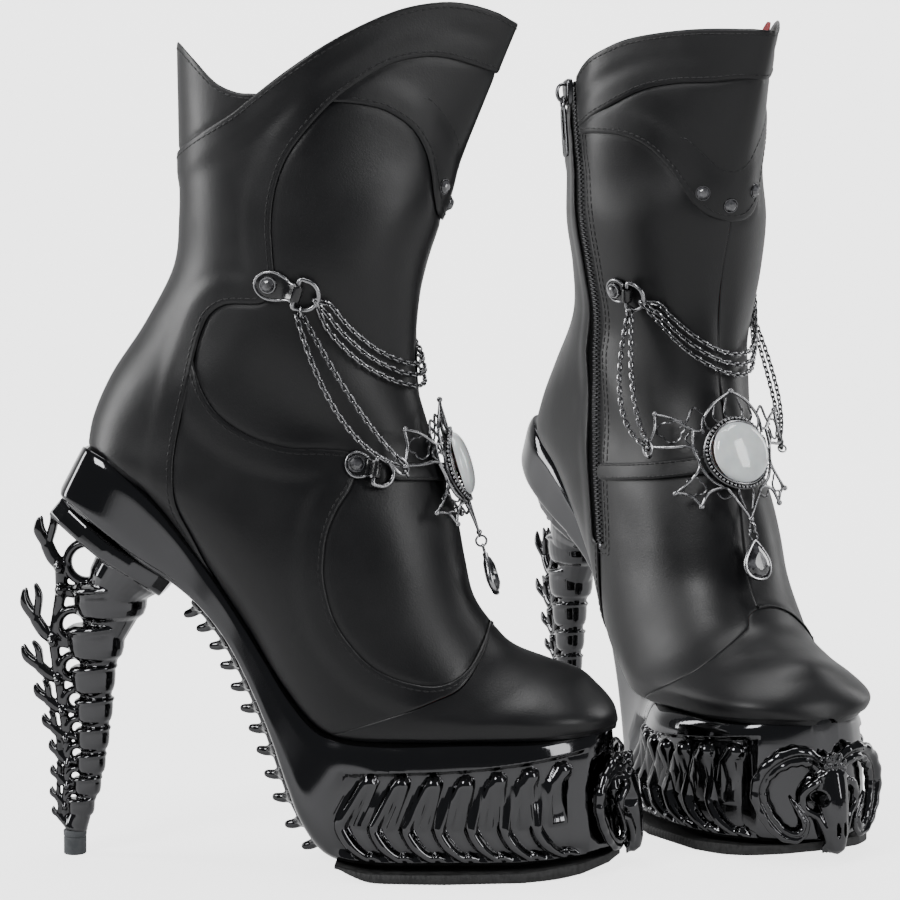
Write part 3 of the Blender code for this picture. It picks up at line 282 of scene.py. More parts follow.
def on_leather(x, z, side, lift=0.0):
    """A point seen at x, z from one side, lifted off the leather, and the outward direction there."""
    s, turn = find(x, z, side)
    out = normal(s, turn)
    return skin(s, turn) + out * lift, out


def around_front(z, turn, lift=0.0):
    """A point at height z on the front line, carried round the boot by turn along its station."""
    s = SEARCH[int(np.argmax(SEARCH_ROWS[:, 1] <= z))]
    out = normal(s, turn)
    return skin(s, turn) + out * lift, out


def folds(p):
    """How far the worn ankle's soft folds lift the leather at points p."""
    x, z = p[..., 0], p[..., 2]
    ankle = np.exp(-(((x - 105) / 48) ** 2) - ((z - 185) / 34) ** 2)
    shaft = np.exp(-(((x - 118) / 34) ** 2) - ((z - 262) / 30) ** 2)
    low = np.exp(-(((x - 118) / 22) ** 2) - ((z - 120) / 22) ** 2)
    side = np.sign(p[..., 1])
    waves = np.sin((z * 0.82 + x * 0.5) / 6.2 + 0.6 * np.sin(x / 17) + side * 0.9)
    creases = np.sin((z * 0.55 - x * 0.8) / 9.5 + 0.8 * np.sin(z / 23))
    return 0.95 * ankle * waves + 0.7 * shaft * creases + 0.5 * low * np.sin((x * 0.9 + z * 0.4) / 6.5)


# ---------------------------------------------------------------- lines and fields in the side view


def smooth_line(points, steps=4):
    """A smooth line through the points."""
    p = np.asarray(points, float)
    line = []
    for i in range(len(p) - 1):
        a, b, c, d = (p[min(max(k, 0), len(p) - 1)] for k in (i - 1, i, i + 1, i + 2))
        for t in np.linspace(0, 1, steps, endpoint=False):
            line.append(b + 0.5 * t * (c - a + t * (2 * a - 5 * b + 4 * c - d + t * (3 * (b - c) + d - a))))
    return np.array(line + [p[-1]])


def line_field(points):
    """The signed distance in the side view from a line: above it on the left of its direction."""
    line = smooth_line(points, 6)
    ways = unit(line[1:] - line[:-1])

    def field(x, z):
        spot = np.stack((x, z), -1)
        best = np.full(x.shape, 1e9)
        sign = np.ones(x.shape)
        for k, (a, b) in enumerate(zip(line[:-1], line[1:])):
            t = np.clip(((spot - a) @ (b - a)) / ((b - a) @ (b - a)), 0, 1)
            gap = spot - a - (b - a) * t[..., None]
            distance = np.hypot(gap[..., 0], gap[..., 1])
            along = np.broadcast_to(ways[k], gap.shape).copy()
            if k + 1 < len(ways):
                along[t == 1] += ways[k + 1]
            if k > 0:
                along[t == 0] += ways[k - 1]
            nearer = distance < best - 1e-9
            best = np.where(nearer, distance, best)
            turned = np.sign(along[..., 0] * gap[..., 1] - along[..., 1] * gap[..., 0])
            sign = np.where(nearer, np.where(turned == 0, 1, turned), sign)
        return best * sign

    return field


def side_field(seam):
    """A seam's field, with its own line on each side of the boot, blended across the middle."""
    lateral = line_field(seam["lateral"])
    medial = line_field(seam.get("medial", seam["lateral"]))

    def field(p):
        share = np.clip((p[..., 1] + 8) / 16, 0, 1)
        x, z = p[..., 0], p[..., 2]
        return lateral(x, z) * (1 - share) + medial(x, z) * share

    return field


FEATHER_LINE = line_field(FEATHER)
RIM_FIELD, COLLAR_FIELD, SWEEP_FIELD = side_field(RIM), side_field(COLLAR_RIM), side_field(SWEEP)
YOKE_FIELD, FOXING_FIELD, TOE_FIELD = side_field(YOKE_EDGE), side_field(FOXING), side_field(TOE_SEAM)


def feather_field(p):
    """How far above the sole unit's edge a point is."""
    return FEATHER_LINE(p[..., 0], p[..., 2]) - 0.1


def lateral_field(p):
    """How far a point is on the lateral side of the front seam."""
    return -p[..., 1]


def collar_front_field(p):
    """How far behind the collar's front edge a point is."""
    return COLLAR_FRONT - p[..., 0]


def zip_x(z):
    """Where the zip's middle line is at a height."""
    return np.interp(z, [q[1] for q in ZIP_LINE][::-1], [q[0] for q in ZIP_LINE][::-1])


def zip_field(p):
    """How far a point is outside the slot that the zip fills."""
    beside = np.abs(p[..., 0] - zip_x(p[..., 2])) - ZIP_HALF_GAP + 0.4
    outside = np.maximum(beside, ZIP_BOTTOM - p[..., 2])
    return np.where(p[..., 1] > 6, outside, 50.0)


# ---------------------------------------------------------------- mesh helpers. A part is (points, faces).


def grid_faces(rows, columns, loop_rows=False, loop_columns=True):
    """The faces between rows of points."""
    index = np.arange(rows * columns).reshape(rows, columns)
    if loop_columns:
        index = np.hstack((index, index[:, :1]))
    if loop_rows:
        index = np.vstack((index, index[:1]))
    corners = (index[:-1, :-1], index[:-1, 1:], index[1:, 1:], index[1:, :-1])
    return np.stack(corners, -1).reshape(-1, 4).tolist()


def loft(rings, loop=False):
    """A closed body through rings of equal length, capped at its ends or joined into a loop."""
    rings = np.asarray(rings, float)
    rows, columns = rings.shape[:2]
    faces = grid_faces(rows, columns, loop_rows=loop)
    if not loop:
        faces.append(list(range(columns))[::-1])
        faces.append(list(range((rows - 1) * columns, rows * columns)))
    return rings.reshape(-1, 3), faces


def merge(parts):
    """Several parts as one."""
    points, faces, start = [], [], 0
    for p, f in parts:
        points.append(p)
        faces += [[k + start for k in face] for face in f] if start else list(f)
        start += len(p)
    return np.concatenate(points), faces


def directions(path, up, loop=False):
    """Along, across and up at each point of a path."""
    path = np.asarray(path, float)
    if loop:
        along = np.roll(path, -1, 0) - np.roll(path, 1, 0)
    else:
        along = np.gradient(path, axis=0)
    along = unit(along)
    across = unit(np.cross(along, np.broadcast_to(np.asarray(up, float), path.shape)))
    return along, across, np.cross(across, along)


def sweep(path, up, section, loop=False):
    """A body with a section (across, up) carried along a path. The section may differ at each point."""
    path = np.asarray(path, float)
    _, across, upward = directions(path, up, loop)
    section = np.broadcast_to(np.asarray(section, float), (len(path), *np.shape(section)[-2:]))
    rings = path[:, None] + across[:, None] * section[..., :1] + upward[:, None] * section[..., 1:]
    return loft(rings, loop)


def turns(count):
    """Equal steps round a full turn."""
    return np.arange(count) * 2 * np.pi / count


def circle(radius=1.0, sides=8, squash=1.0):
    """A round section."""
    a = turns(sides)
    return np.stack((radius * np.cos(a), radius * squash * np.sin(a)), -1)


def boxy(section, power):
    """A section squared off: a power of 1 keeps it as it is, and less makes it boxier."""
    section = np.asarray(section)
    return np.sign(section) * np.abs(section) ** power


def tube(path, radius, up, sides=8, loop=False, squash=1.0):
    """A rod along a path, of one radius or one for each point."""
    radii = np.broadcast_to(np.asarray(radius, float), (len(path),))
    return sweep(path, up, circle(1.0, sides, squash) * radii[:, None, None], loop)


def spread_out(values, count):
    """Values at equal steps, spread over count places."""
    return np.interp(np.linspace(0, 1, count), np.linspace(0, 1, len(values)), values)


def taper(points, radii, up=(0, 1, 0), sides=10, steps=5):
    """A smooth rod through the points with round ends."""
    line = smooth_line(points, steps)
    wide = spread_out(radii, len(line))
    first, last = unit(line[0] - line[1]), unit(line[-1] - line[-2])
    path = [line[0] + first * wide[0] * k for k in (0.95, 0.6)] + list(line)
    path += [line[-1] + last * wide[-1] * k for k in (0.6, 0.95)]
    wide = [wide[0] * 0.3, wide[0] * 0.8, *wide, wide[-1] * 0.8, wide[-1] * 0.3]
    return tube(path, wide, up, sides)


def ball(centre, radii, rows=10, sides=16):
    """An egg of three half sizes."""
    down = np.linspace(0.12, np.pi - 0.12, rows)
    rings = [[(math.sin(b) * math.cos(a), math.sin(b) * math.sin(a), math.cos(b)) for a in turns(sides)]
             for b in down]
    return loft(np.asarray(rings) * np.asarray(radii) + np.asarray(centre))


def copies(part, origins, along, across, upward):
    """Copies of a small part, each set in its own frame."""
    points, faces = part
    frames = np.stack((along, across, upward), 1)
    placed = np.asarray(origins)[:, None] + np.einsum("pk,nkc->npc", points, frames)
    made = [[k + n * len(points) for k in face] for n in range(len(origins)) for face in faces]
    return placed.reshape(-1, 3), made


def rounded_bar(length, width, height, bevel):
    """A small bar with rounded edges, along its first direction and centred on its frame."""
    outline = boxy(circle(1.0, 12), 0.6) * (width / 2, height / 2)
    rings = []
    for x, k in ((-0.5, 0.45), (-0.5 + bevel / length, 1), (0.5 - bevel / length, 1), (0.5, 0.45)):
        rings.append([(x * length, a * k, b * k) for a, b in outline])
    return loft(rings)


def evenly(path, pitch, *others):
    """A path, and values along it, at equal steps of about the pitch."""
    path = np.asarray(path, float)
    run = np.concatenate(([0], np.cumsum(np.linalg.norm(np.diff(path, axis=0), axis=1))))
    count = max(int(round(run[-1] / pitch)), 1) + 1
    spots = np.linspace(0, run[-1], count)
    return [np.stack([np.interp(spots, run, q[:, k]) for k in range(q.shape[1])], -1)
            for q in (path, *map(np.asarray, others))]


def to_mesh(part, name="work"):
    """A part as a mesh."""
    mesh = bpy.data.meshes.new(name)
    mesh.from_pydata(np.asarray(part[0], float).tolist(), [], part[1])
    return mesh


def modified(part, *modifiers):
    """A part with modifiers applied. Each is a type and its settings."""
    holder = bpy.data.objects.new("work", to_mesh(part))
    bpy.context.scene.collection.objects.link(holder)
    for kind, settings in modifiers:
        modifier = holder.modifiers.new(kind, kind)
        for key, value in settings.items():
            setattr(modifier, key, value)
    mesh = bpy.data.meshes.new_from_object(holder.evaluated_get(bpy.context.evaluated_depsgraph_get()))
    bpy.data.objects.remove(holder)
    points = np.empty(len(mesh.vertices) * 3)
    mesh.vertices.foreach_get("co", points)
    faces = [list(face.vertices) for face in mesh.polygons]
    bpy.data.meshes.remove(mesh)
    return points.reshape(-1, 3), faces


def moulded(parts, voxel, smoothing=4):
    """Overlapping bodies melted into one smooth cast body."""
    smooth = {"factor": 0.5, "iterations": smoothing}
    return modified(merge(parts), ("REMESH", {"mode": "VOXEL", "voxel_size": voxel}), ("SMOOTH", smooth))


# ---------------------------------------------------------------- placing


def stand(side):
    """The matrix from one boot's own frame to the scene."""
    low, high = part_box(f"{side}_heel_tip")
    tilt = next(j for j in frame["joints"] if j["name"] == f"{side}_medallion_tilt")
    yaw = math.atan2(tilt["axis"][0], -tilt["axis"][1])
    flip = Matrix.Scale(-1, 4, (0, 1, 0)) if side == "left" else Matrix.Identity(4)
    place = Matrix.Translation(((low.x + high.x) / 2, (low.y + high.y) / 2, 0)) @ Matrix.Rotation(yaw, 4, "Z")
    return np.array(place @ flip @ Matrix.Scale(MM, 4))


STANDS = {side: stand(side) for side in ("right", "left")}


def to_bmesh(points, faces):
    """A part as a bmesh, without points that no face uses."""
    used = sorted({k for face in faces for k in face})
    bm = bmesh.new()
    made = dict(zip(used, (bm.verts.new(p) for p in np.asarray(points, float)[used].tolist())))
    for face in faces:
        bm.faces.new([made[k] for k in face])
    return bm


def from_bmesh(bm):
    """The part that a bmesh holds. The bmesh is freed."""
    bm.verts.index_update()
    part = spots_of(bm), [[v.index for v in face.verts] for face in bm.faces]
    bm.free()
    return part


def spots_of(bm):
    """The positions of a bmesh's vertices."""
    return np.array([v.co for v in bm.verts])


def outward(part):
    """A part with all its faces turned outward."""
    bm = to_bmesh(*part)
    bmesh.ops.recalc_face_normals(bm, faces=bm.faces)
    return part[0], from_bmesh(bm)[1]


def piece(name, part, finish, nodes=(), body="boot", angle=40):
    """Puts a piece on both boots, mirrored for the left one, riding on a CAD body."""
    points, faces = outward(part)
    for side, matrix in STANDS.items():
        placed = points @ matrix[:3, :3].T + matrix[:3, 3]
        kept = faces if side == "right" else [face[::-1] for face in faces]
        made = bpy.data.objects.new(f"{side}_{name}", to_mesh((placed, kept), f"{side}_{name}"))
        bpy.context.scene.collection.objects.link(made)
        made.data.materials.append(FINISHES[finish])
        made.data.shade_smooth()
        made.data.set_sharp_from_angle(angle=math.radians(angle))
        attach(made, f"{side}_{body}")
        if nodes:
            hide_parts(*[f"{side}_{node}" for node in nodes])


# ---------------------------------------------------------------- the upper


def spread_rows(count, low, high):
    """Stations at about equal distances down the boot."""
    s = np.linspace(low, high, 600)
    lines = skin(s[:, None], np.array([[0.0, 0.25, 0.5, 0.75, 1.0, -0.5]]))
    steps = np.linalg.norm(np.diff(lines, axis=0), axis=-1).mean(1)
    run = np.concatenate(([0], np.cumsum(steps)))
    return np.interp(np.linspace(0, run[-1], count), run, s)


def leather_grid(count, columns, depth=0.0, low=0.15, high=19.97):
    """Points over the whole upper in rows down the boot and evenly round it, with outward directions."""
    s = spread_rows(count, low, high)
    fine = np.linspace(0, 1, 260)
    for _ in range(2):
        fine = 0.5 - 0.5 * np.cos(np.pi * fine)
    rings = []
    for side in (-1, 1):
        lines = skin(s[:, None], side * np.maximum(fine, 1e-6)[None])
        run = np.cumsum(np.linalg.norm(np.diff(lines, axis=1), axis=-1), axis=1)
        run = np.hstack((np.zeros((count, 1)), run))
        share = np.linspace(0, 1, columns // 2 + 1)
        ring = [[np.interp(share * r[-1], r, line[:, k]) for k in range(3)] for r, line in zip(run, lines)]
        ring = np.array(ring).transpose(0, 2, 1)
        rings.append(ring[:, ::-1][:, :-1] if side < 0 else ring[:, :-1])
    points = np.hstack(rings)
    # The leather rounds off the sharp line down the front.
    for _ in range(12 if columns > 100 else 4):
        points = (np.roll(points, 1, 1) + 2 * points + np.roll(points, -1, 1)) / 4
    around = np.roll(points, -1, 1) - np.roll(points, 1, 1)
    out = unit(np.cross(around, np.gradient(points, axis=0)))
    if depth:
        points = points - out * np.minimum(depth, station(s)[:, 4] * 0.4)[:, None, None]
    return points, out


UNDER, OVER, ROUND, TUCK, PLAIN = "under", "over", "round", "tuck", "plain"
# The lifts, in millimetres, of a panel's edge, and how far they reach.
LAP_HEIGHT, LAP_REACH = 0.8, 7.0
# How far one panel runs on under the next, and how far the leather runs down past the sole unit's edge.
EDGE_LEVEL = 0.03
EDGE_LEVELS = {UNDER: -1.8, TUCK: -2.2}
# The extra lines of vertices beside an edge, and how much of the grid round a panel is kept before its cuts.
EDGE_LOOP = (0.35, 1.0)
EDGE_LOOPS = {UNDER: (0.0, 1.4)}
NEAR_EDGE = 4


def dome(u):
    """A quarter-circle rise from 0 to 1."""
    return np.sqrt(1 - (1 - np.clip(u, 0, 1)) ** 2)


def edge_lift(distance, kind):
    """How far a leather edge of one kind stands proud of the skin, by the distance from it."""
    if kind == OVER:
        fade = np.clip((distance - LAP_REACH) / LAP_REACH, 0, 1)
        return LAP_HEIGHT * dome(distance / 0.9) * (1 - fade * fade * (3 - 2 * fade))
    if kind == UNDER:
        return -0.45 * np.exp(-((np.maximum(distance, 0) / 1.3) ** 2))
    if kind == ROUND:
        return -0.7 * (1 - dome(distance / 0.9))
    if kind == TUCK:
        return -0.5 * (1 - dome(distance / 1.0))
    return -0.35 * (1 - dome(distance / 0.7))


GRID, GRID_OUT = leather_grid(GRID_ROWS, GRID_COLUMNS)
PANEL_EDGES = {
    "rear_quarter": [(RIM_FIELD, -1, OVER), (SWEEP_FIELD, -1, OVER), (feather_field, 1, TUCK)],
    "collar_back": [(COLLAR_FIELD, -1, ROUND), (RIM_FIELD, 1, UNDER), (collar_front_field, 1, PLAIN)],
    "yoke": [(SWEEP_FIELD, 1, UNDER), (YOKE_FIELD, 1, OVER)],
    "front_lateral": [(lateral_field, 1, PLAIN), (SWEEP_FIELD, 1, UNDER), (YOKE_FIELD, -1, UNDER),
                      (FOXING_FIELD, 1, UNDER), (TOE_FIELD, -1, PLAIN)],
    "front_medial": [(lateral_field, -1, PLAIN), (SWEEP_FIELD, 1, UNDER), (YOKE_FIELD, -1, UNDER),
                     (TOE_FIELD, -1, PLAIN), (feather_field, 1, TUCK)],
    "quarter_lateral": [(lateral_field, 1, PLAIN), (SWEEP_FIELD, 1, UNDER), (FOXING_FIELD, -1, OVER),
                        (TOE_FIELD, -1, PLAIN), (feather_field, 1, TUCK)],
    "toe_cap": [(TOE_FIELD, 1, PLAIN), (feather_field, 1, TUCK)],
}
GRID_VALUES = {}


def on_grid(field):
    """A field's values over the leather grid."""
    if field not in GRID_VALUES:
        GRID_VALUES[field] = field(GRID)
    return GRID_VALUES[field]


def cut(bm, field, level):
    """Cuts the mesh along field = level and gives each vertex's height above it."""
    value = dict(zip(bm.verts, (field(spots_of(bm)) - level).tolist()))
    crossed = {}
    for edge in [e for e in bm.edges if value[e.verts[0]] * value[e.verts[1]] < 0]:
        a, b = edge.verts
        if value[a] * value[b] >= 0:
            continue
        share = value[a] / (value[a] - value[b])
        if share < 0.03 or share > 0.97:
            snapped = a if share < 0.5 else b
            value[snapped] = 0.0
            crossed[snapped] = True
            continue
        _, new = bmesh.utils.edge_split(edge, a, share)
        value[new] = 0.0
        crossed[new] = True
    bmesh.ops.connect_verts(bm, verts=list(crossed), check_degenerate=False)
    return value


def trim(bm, field, level):
    """Cuts the mesh along field = level and removes what lies below it."""
    value = cut(bm, field, level)
    lost = [face for face in bm.faces if sum(value[v] for v in face.verts) < 0]
    bmesh.ops.delete(bm, geom=lost, context="FACES")


def panel(edges):
    """One leather panel, with its edges folded, lapped or tucked and the ankle's folds in it."""
    edges = edges + [(zip_field, 1, ROUND)]
    share = np.min([sign * on_grid(field) for field, sign, _ in edges[:-1]], axis=0)
    near = share.ravel() > -NEAR_EDGE
    faces = [face for face in grid_faces(*share.shape) if near[face[0]] and near[face[2]]]
    bm = to_bmesh(GRID.reshape(-1, 3), faces)
    for field, sign, kind in edges:
        signed = (lambda p, f=field, k=sign: k * f(p))
        trim(bm, signed, EDGE_LEVELS.get(kind, EDGE_LEVEL))
        for level in EDGE_LOOPS.get(kind, EDGE_LOOP):
            cut(bm, signed, level)
    bm.normal_update()
    out = np.array([v.normal for v in bm.verts])
    points, faces = from_bmesh(bm)
    out *= np.sign(np.sum(out * (points - (90, 0, 0)) * (0.2, 1, 0), axis=1).mean() or 1)
    lift = folds(points) + sum(edge_lift(sign * field(points), kind) for field, sign, kind in edges)
    return points + out * lift[:, None], faces


def leather_upper():
    """The seven leather panels as closed sheets."""
    for name, edges in PANEL_EDGES.items():
        sheet = {"thickness": 1.25, "offset": -1.0}
        closed = modified(largest(panel(edges)), ("SOLIDIFY", sheet))
        piece(name, closed, "leather", (name,), angle=50)


def largest(part):
    """The part without loose scraps."""
    points, faces = part
    parent = list(range(len(points)))

    def root(k):
        while parent[k] != k:
            parent[k] = parent[parent[k]]
            k = parent[k]
        return k

    for face in faces:
        for k in face[1:]:
            parent[root(k)] = root(face[0])
    owner = [root(face[0]) for face in faces]
    most = max(set(owner), key=owner.count)
    kept = [face for face, k in zip(faces, owner) if k == most]
    return from_bmesh(to_bmesh(points, kept))


def isolines(value, keep):
    """The lines over the leather grid where value is 0, as points with outward directions, where keep is
    above 0."""
    rows, columns = value.shape
    sign = value > 0
    right, below = np.roll(sign, -1, 1), np.roll(sign, -1, 0)
    mixed = (sign != right) | (sign != below) | (sign != np.roll(right, -1, 0))
    links = {}

    def crossing(r, c, dr, dc):
        r2, c2 = r + dr, (c + dc) % columns
        return (r, c % columns, dr) if sign[r, c % columns] != sign[r2, c2] else None

    for r, c in np.argwhere(mixed[:-1]):
        sides = ((r, c, 0, 1), (r, c + 1, 1, 0), (r + 1, c, 0, 1), (r, c, 1, 0))
        met = [spot for spot in (crossing(*side) for side in sides) if spot]
        if len(met) == 2:
            links.setdefault(met[0], []).append(met[1])
            links.setdefault(met[1], []).append(met[0])
    lines = []
    while links:
        start = next((k for k, to in links.items() if len(to) == 1), next(iter(links)))
        line, here = [start], start
        while links.get(here):
            after = links[here].pop()
            links[after].remove(here)
            if not links[here]:
                del links[here]
            line.append(after)
            here = after
        links = {k: to for k, to in links.items() if to}
        lines.append(line)
    made = []
    for line in lines:
        spots, outs, kept = [], [], []
        for r, c, down in line:
            r2, c2 = (r + 1, c) if down else (r, (c + 1) % columns)
            t = value[r, c] / (value[r, c] - value[r2, c2])
            spots.append(GRID[r, c] * (1 - t) + GRID[r2, c2] * t)
            outs.append(GRID_OUT[r, c] * (1 - t) + GRID_OUT[r2, c2] * t)
            kept.append(keep[r, c] * (1 - t) + keep[r2, c2] * t > 0)
        run = []
        for k, inside in enumerate(kept + [False]):
            if inside:
                run.append(k)
            elif len(run) > 4:
                made.append((np.array(spots)[run], unit(np.array(outs)[run])))
                run = []
            else:
                run = []
    return made


def thread_lines(field, sign, inset, others, zip_gap=1.5):
    """The lines at an inset from one edge of a panel, inside its other edges."""
    value = sign * on_grid(field) - inset
    keep = np.min([k * on_grid(f) - 0.8 for f, k, _ in others] + [on_grid(zip_field) - zip_gap], axis=0)
    lines = []
    for path, out in isolines(value, keep):
        lines.append((path + out * folds(path)[:, None], out))
    return lines


STITCH = rounded_bar(2.35, 0.62, 0.42, 0.5)


def stitches(lines, lift, pitch=3.0):
    """Sewn stitches along lines on the leather, sunk a little at their ends."""
    made = []
    for path, out in lines:
        path, out = evenly(path, pitch, out)
        if len(path) < 3:
            continue
        along, across, upward = directions(path, out)
        made.append(copies(STITCH, path + upward * lift, along, across, upward))
    return merge(made)


def stitching():
    """The rows of stitches along the seams."""
    panels = PANEL_EDGES
    rows = []

    def row(name, edge, inset, lift):
        edges = panels[name]
        field, sign, _ = edges[edge]
        others = [e for k, e in enumerate(edges) if k != edge]
        rows.append(stitches(thread_lines(field, sign, inset, others), lift))

    raised = LAP_HEIGHT + 0.02
    row("rear_quarter", 0, 2.2, raised)
    row("rear_quarter", 1, 2.0, raised)
    row("collar_back", 0, 2.0, 0.02)
    row("yoke", 1, 2.0, raised)
    row("yoke", 1, 2.0 + 11 * np.clip((GRID[..., 0] - 130) / 13, 0, 1) ** 0.7, 0.02)
    row("quarter_lateral", 2, 2.0, raised)
    zip_band = [(feather_field, 1, TUCK), (RIM_FIELD, -1, ROUND)]
    for inset in (1.8, 4.2):
        rows.append(stitches(thread_lines(zip_field, 1, inset, zip_band, -9.0), 0.02))
    piece("seam_stitches", merge(rows), "thread")


def lining():
    """The red lining, seen inside the cuff."""
    points, _ = leather_grid(90, 96, 3.0, 0.15, 18.6)
    gap, end = 0.9, 11.0

    def under_top(p):
        return np.maximum(-RIM_FIELD(p), np.minimum(-COLLAR_FIELD(p), COLLAR_FRONT - 4 - p[..., 0]))

    keep = np.minimum(under_top(points) - gap, feather_field(points) - end - 1).ravel()
    faces = [face for face in grid_faces(*points.shape[:2]) if keep[face].max() > 0]
    bm = to_bmesh(points.reshape(-1, 3), faces)
    trim(bm, under_top, gap)
    trim(bm, feather_field, end + gap)
    cloth = modified(largest(from_bmesh(bm)), ("SOLIDIFY", {"thickness": 0.9, "offset": -1.0}))
    piece("lining", cloth, "lining", ("lining",))


def zip_spots(low, high, step, lift):
    """Points along the zip's middle line with outward directions."""
    spots = [on_leather(zip_x(z), z, -1, lift) for z in np.arange(low, high, step)]
    return np.array([p for p, _ in spots]), np.array([out for _, out in spots])


def zip_chain():
    """The zip: woven tapes, two interlocked rows of teeth and the end stops."""
    path, out = zip_spots(ZIP_BOTTOM - 1.5, ZIP_TOP, 3.0, -1.7)
    right = [(8.0, -0.4), (8.0, 0.2), (2.8, 0.3), (1.8, 0.9)]
    tape = right + [(-a, b) for a, b in right[::-1]]
    piece("zip_tape", sweep(path, out, tape), "tape", ("zip_chain",))
    spots, outs = evenly(path, 0.95, out)
    along, across, upward = directions(spots, outs)
    side = np.where(np.arange(len(spots)) % 2, 1.0, -1.0)[:, None]
    tooth = rounded_bar(2.9, 0.72, 1.3, 0.4)
    teeth = copies(tooth, spots + across * side * 0.75 + upward * 1.0, across, along, upward)
    stop = rounded_bar(4.6, 3.0, 1.6, 0.6)
    at_ends = [way[[0, -1]] for way in (across, along, upward)]
    ends = copies(stop, spots[[0, -1]] + at_ends[2] * 1.1, *at_ends)
    piece("zip_teeth", merge([teeth, ends]), "nickel")


def studs():
    """The yoke's round studs: a rimmed collar round a faceted stone."""
    made, stones = [], []
    for s, turn in STUDS:
        centre, out = skin(s, turn), normal(s, turn)
        across = unit(np.cross(out, (0, 0, 1)))
        up = np.cross(across, out)
        collar = [[centre + out * w + across * r * a + up * r * b for a, b in circle(1, 28)] for w, r in
                  ((-0.4, 3.3), (0.7, 3.35), (1.1, 3.15), (1.1, 2.8), (0.8, 2.6))]
        stone = [[centre + out * w + across * r * a + up * r * b for a, b in circle(1, 8)] for w, r in
                 ((0.6, 2.75), (1.3, 2.7), (2.3, 1.85), (2.6, 1.3), (2.62, 0.2))]
        made.append(loft(collar))
        stones.append(loft(stone))
    piece("yoke_studs", merge(made), "nickel")
    piece("stud_crystals", merge(stones), "crystal", angle=8)


# ---------------------------------------------------------------- sole unit, heel and toe skull


def sole_rows(count):
    """The sole unit's rows, evenly spaced and smoothed: top x, z, underside x, z, half widths."""
    line = smooth_line(SOLE_ROWS, 12)
    run = np.concatenate(([0], np.cumsum(np.linalg.norm(np.diff(line[:, :4], axis=0), axis=1))))
    return np.stack([np.interp(np.linspace(0, run[-1], count), run, line[:, k]) for k in range(6)], -1)


def sole_width(x, side):
    """The sole unit's half width on one side, 1 lateral or -1 medial."""
    xs = [(row[0] + row[2]) / 2 for row in SOLE_ROWS]
    return np.interp(x, xs, [row[4] if side > 0 else row[5] for row in SOLE_ROWS])


# The platform's side relief, seen from the side in millimetres, as bones: points with radii.
RIB_COUNT, RIB_FIRST, RIB_STEP = 7, 112.0, 12.6
RELIEF = 1.15
# How deep the ground between the bones lies under the wall.
GROUND = 3.1
# How high the lip round the platform's top edge stands.
LIP = 2.4


def relief(x, z):
    """How far the moulded bones stand out of the platform's side wall."""
    height = np.zeros_like(x)

    def add(points, radii, rise=1.0):
        """Adds one bone along the points, thicker where its radii are larger."""
        nonlocal height
        line = smooth_line(points, 5)
        wide = spread_out(radii, len(line))
        for (a, ra), (b, rb) in zip(zip(line, wide), zip(line[1:], wide[1:])):
            run = b - a
            t = np.clip(((x - a[0]) * run[0] + (z - a[1]) * run[1]) / (run @ run), 0, 1)
            gap = np.hypot(x - a[0] - run[0] * t, z - a[1] - run[1] * t)
            r = ra + (rb - ra) * t
            height = np.maximum(height, RELIEF * rise * np.sqrt(np.clip(r * r - gap * gap, 0, None)))

    for i in range(RIB_COUNT):
        foot = RIB_FIRST + RIB_STEP * i
        rise = 1.3 * max(i - 3, 0)
        upper = [(foot + 8.5, 37.5 + rise), (foot + 4.0, 32 + rise * 0.7), (foot + 1.2, 27)]
        add(upper, (3.7, 2.7, 2.1), 0.85)
        lower = [(-1.2, 24.5), (-2.0, 20.5), (1.5, 14.0), (7.0, 8.6), (10.5, 7.6)]
        add([(foot + along, up) for along, up in lower], (2.8, 2.4, 2.6, 2.0, 1.6), 1.15)
        add([(foot + 10.2, 9.0), (foot + 12.4, 8.0)], (2.0, 1.4), 1.3)
        add([(foot + 10.4, 6.6), (foot + 12.2, 6.0)], (1.6, 1.3), 1.4)
        add([(foot + 4.4, 22.6), (foot + 7.4, 23.4), (foot + 9.6, 22.4)], (1.4, 1.7, 1.2), 1.1)
        add([(foot - 3.4, 26.4), (foot, 25.6), (foot + 3.6, 26.6)], (1.1, 1.6, 1.1), 1.2)
    ridge = 40.5 + 0.055 * (x - 110) + 0.0009 * np.clip(x - 150, 0, None) ** 2
    inside = np.clip((x - 104) / 8, 0, 1) * np.clip((205 - x) / 6, 0, 1)
    band = (GROUND + 0.1) * np.clip((z - ridge) / 1.6 + 0.5, 0, 1)
    foot_band = (GROUND + 0.1) * np.clip((5.6 + 0.02 * (x - 110) - z) / 1.2 + 0.5, 0, 1)
    return np.maximum(height, np.maximum(band, foot_band)) * inside - GROUND * inside


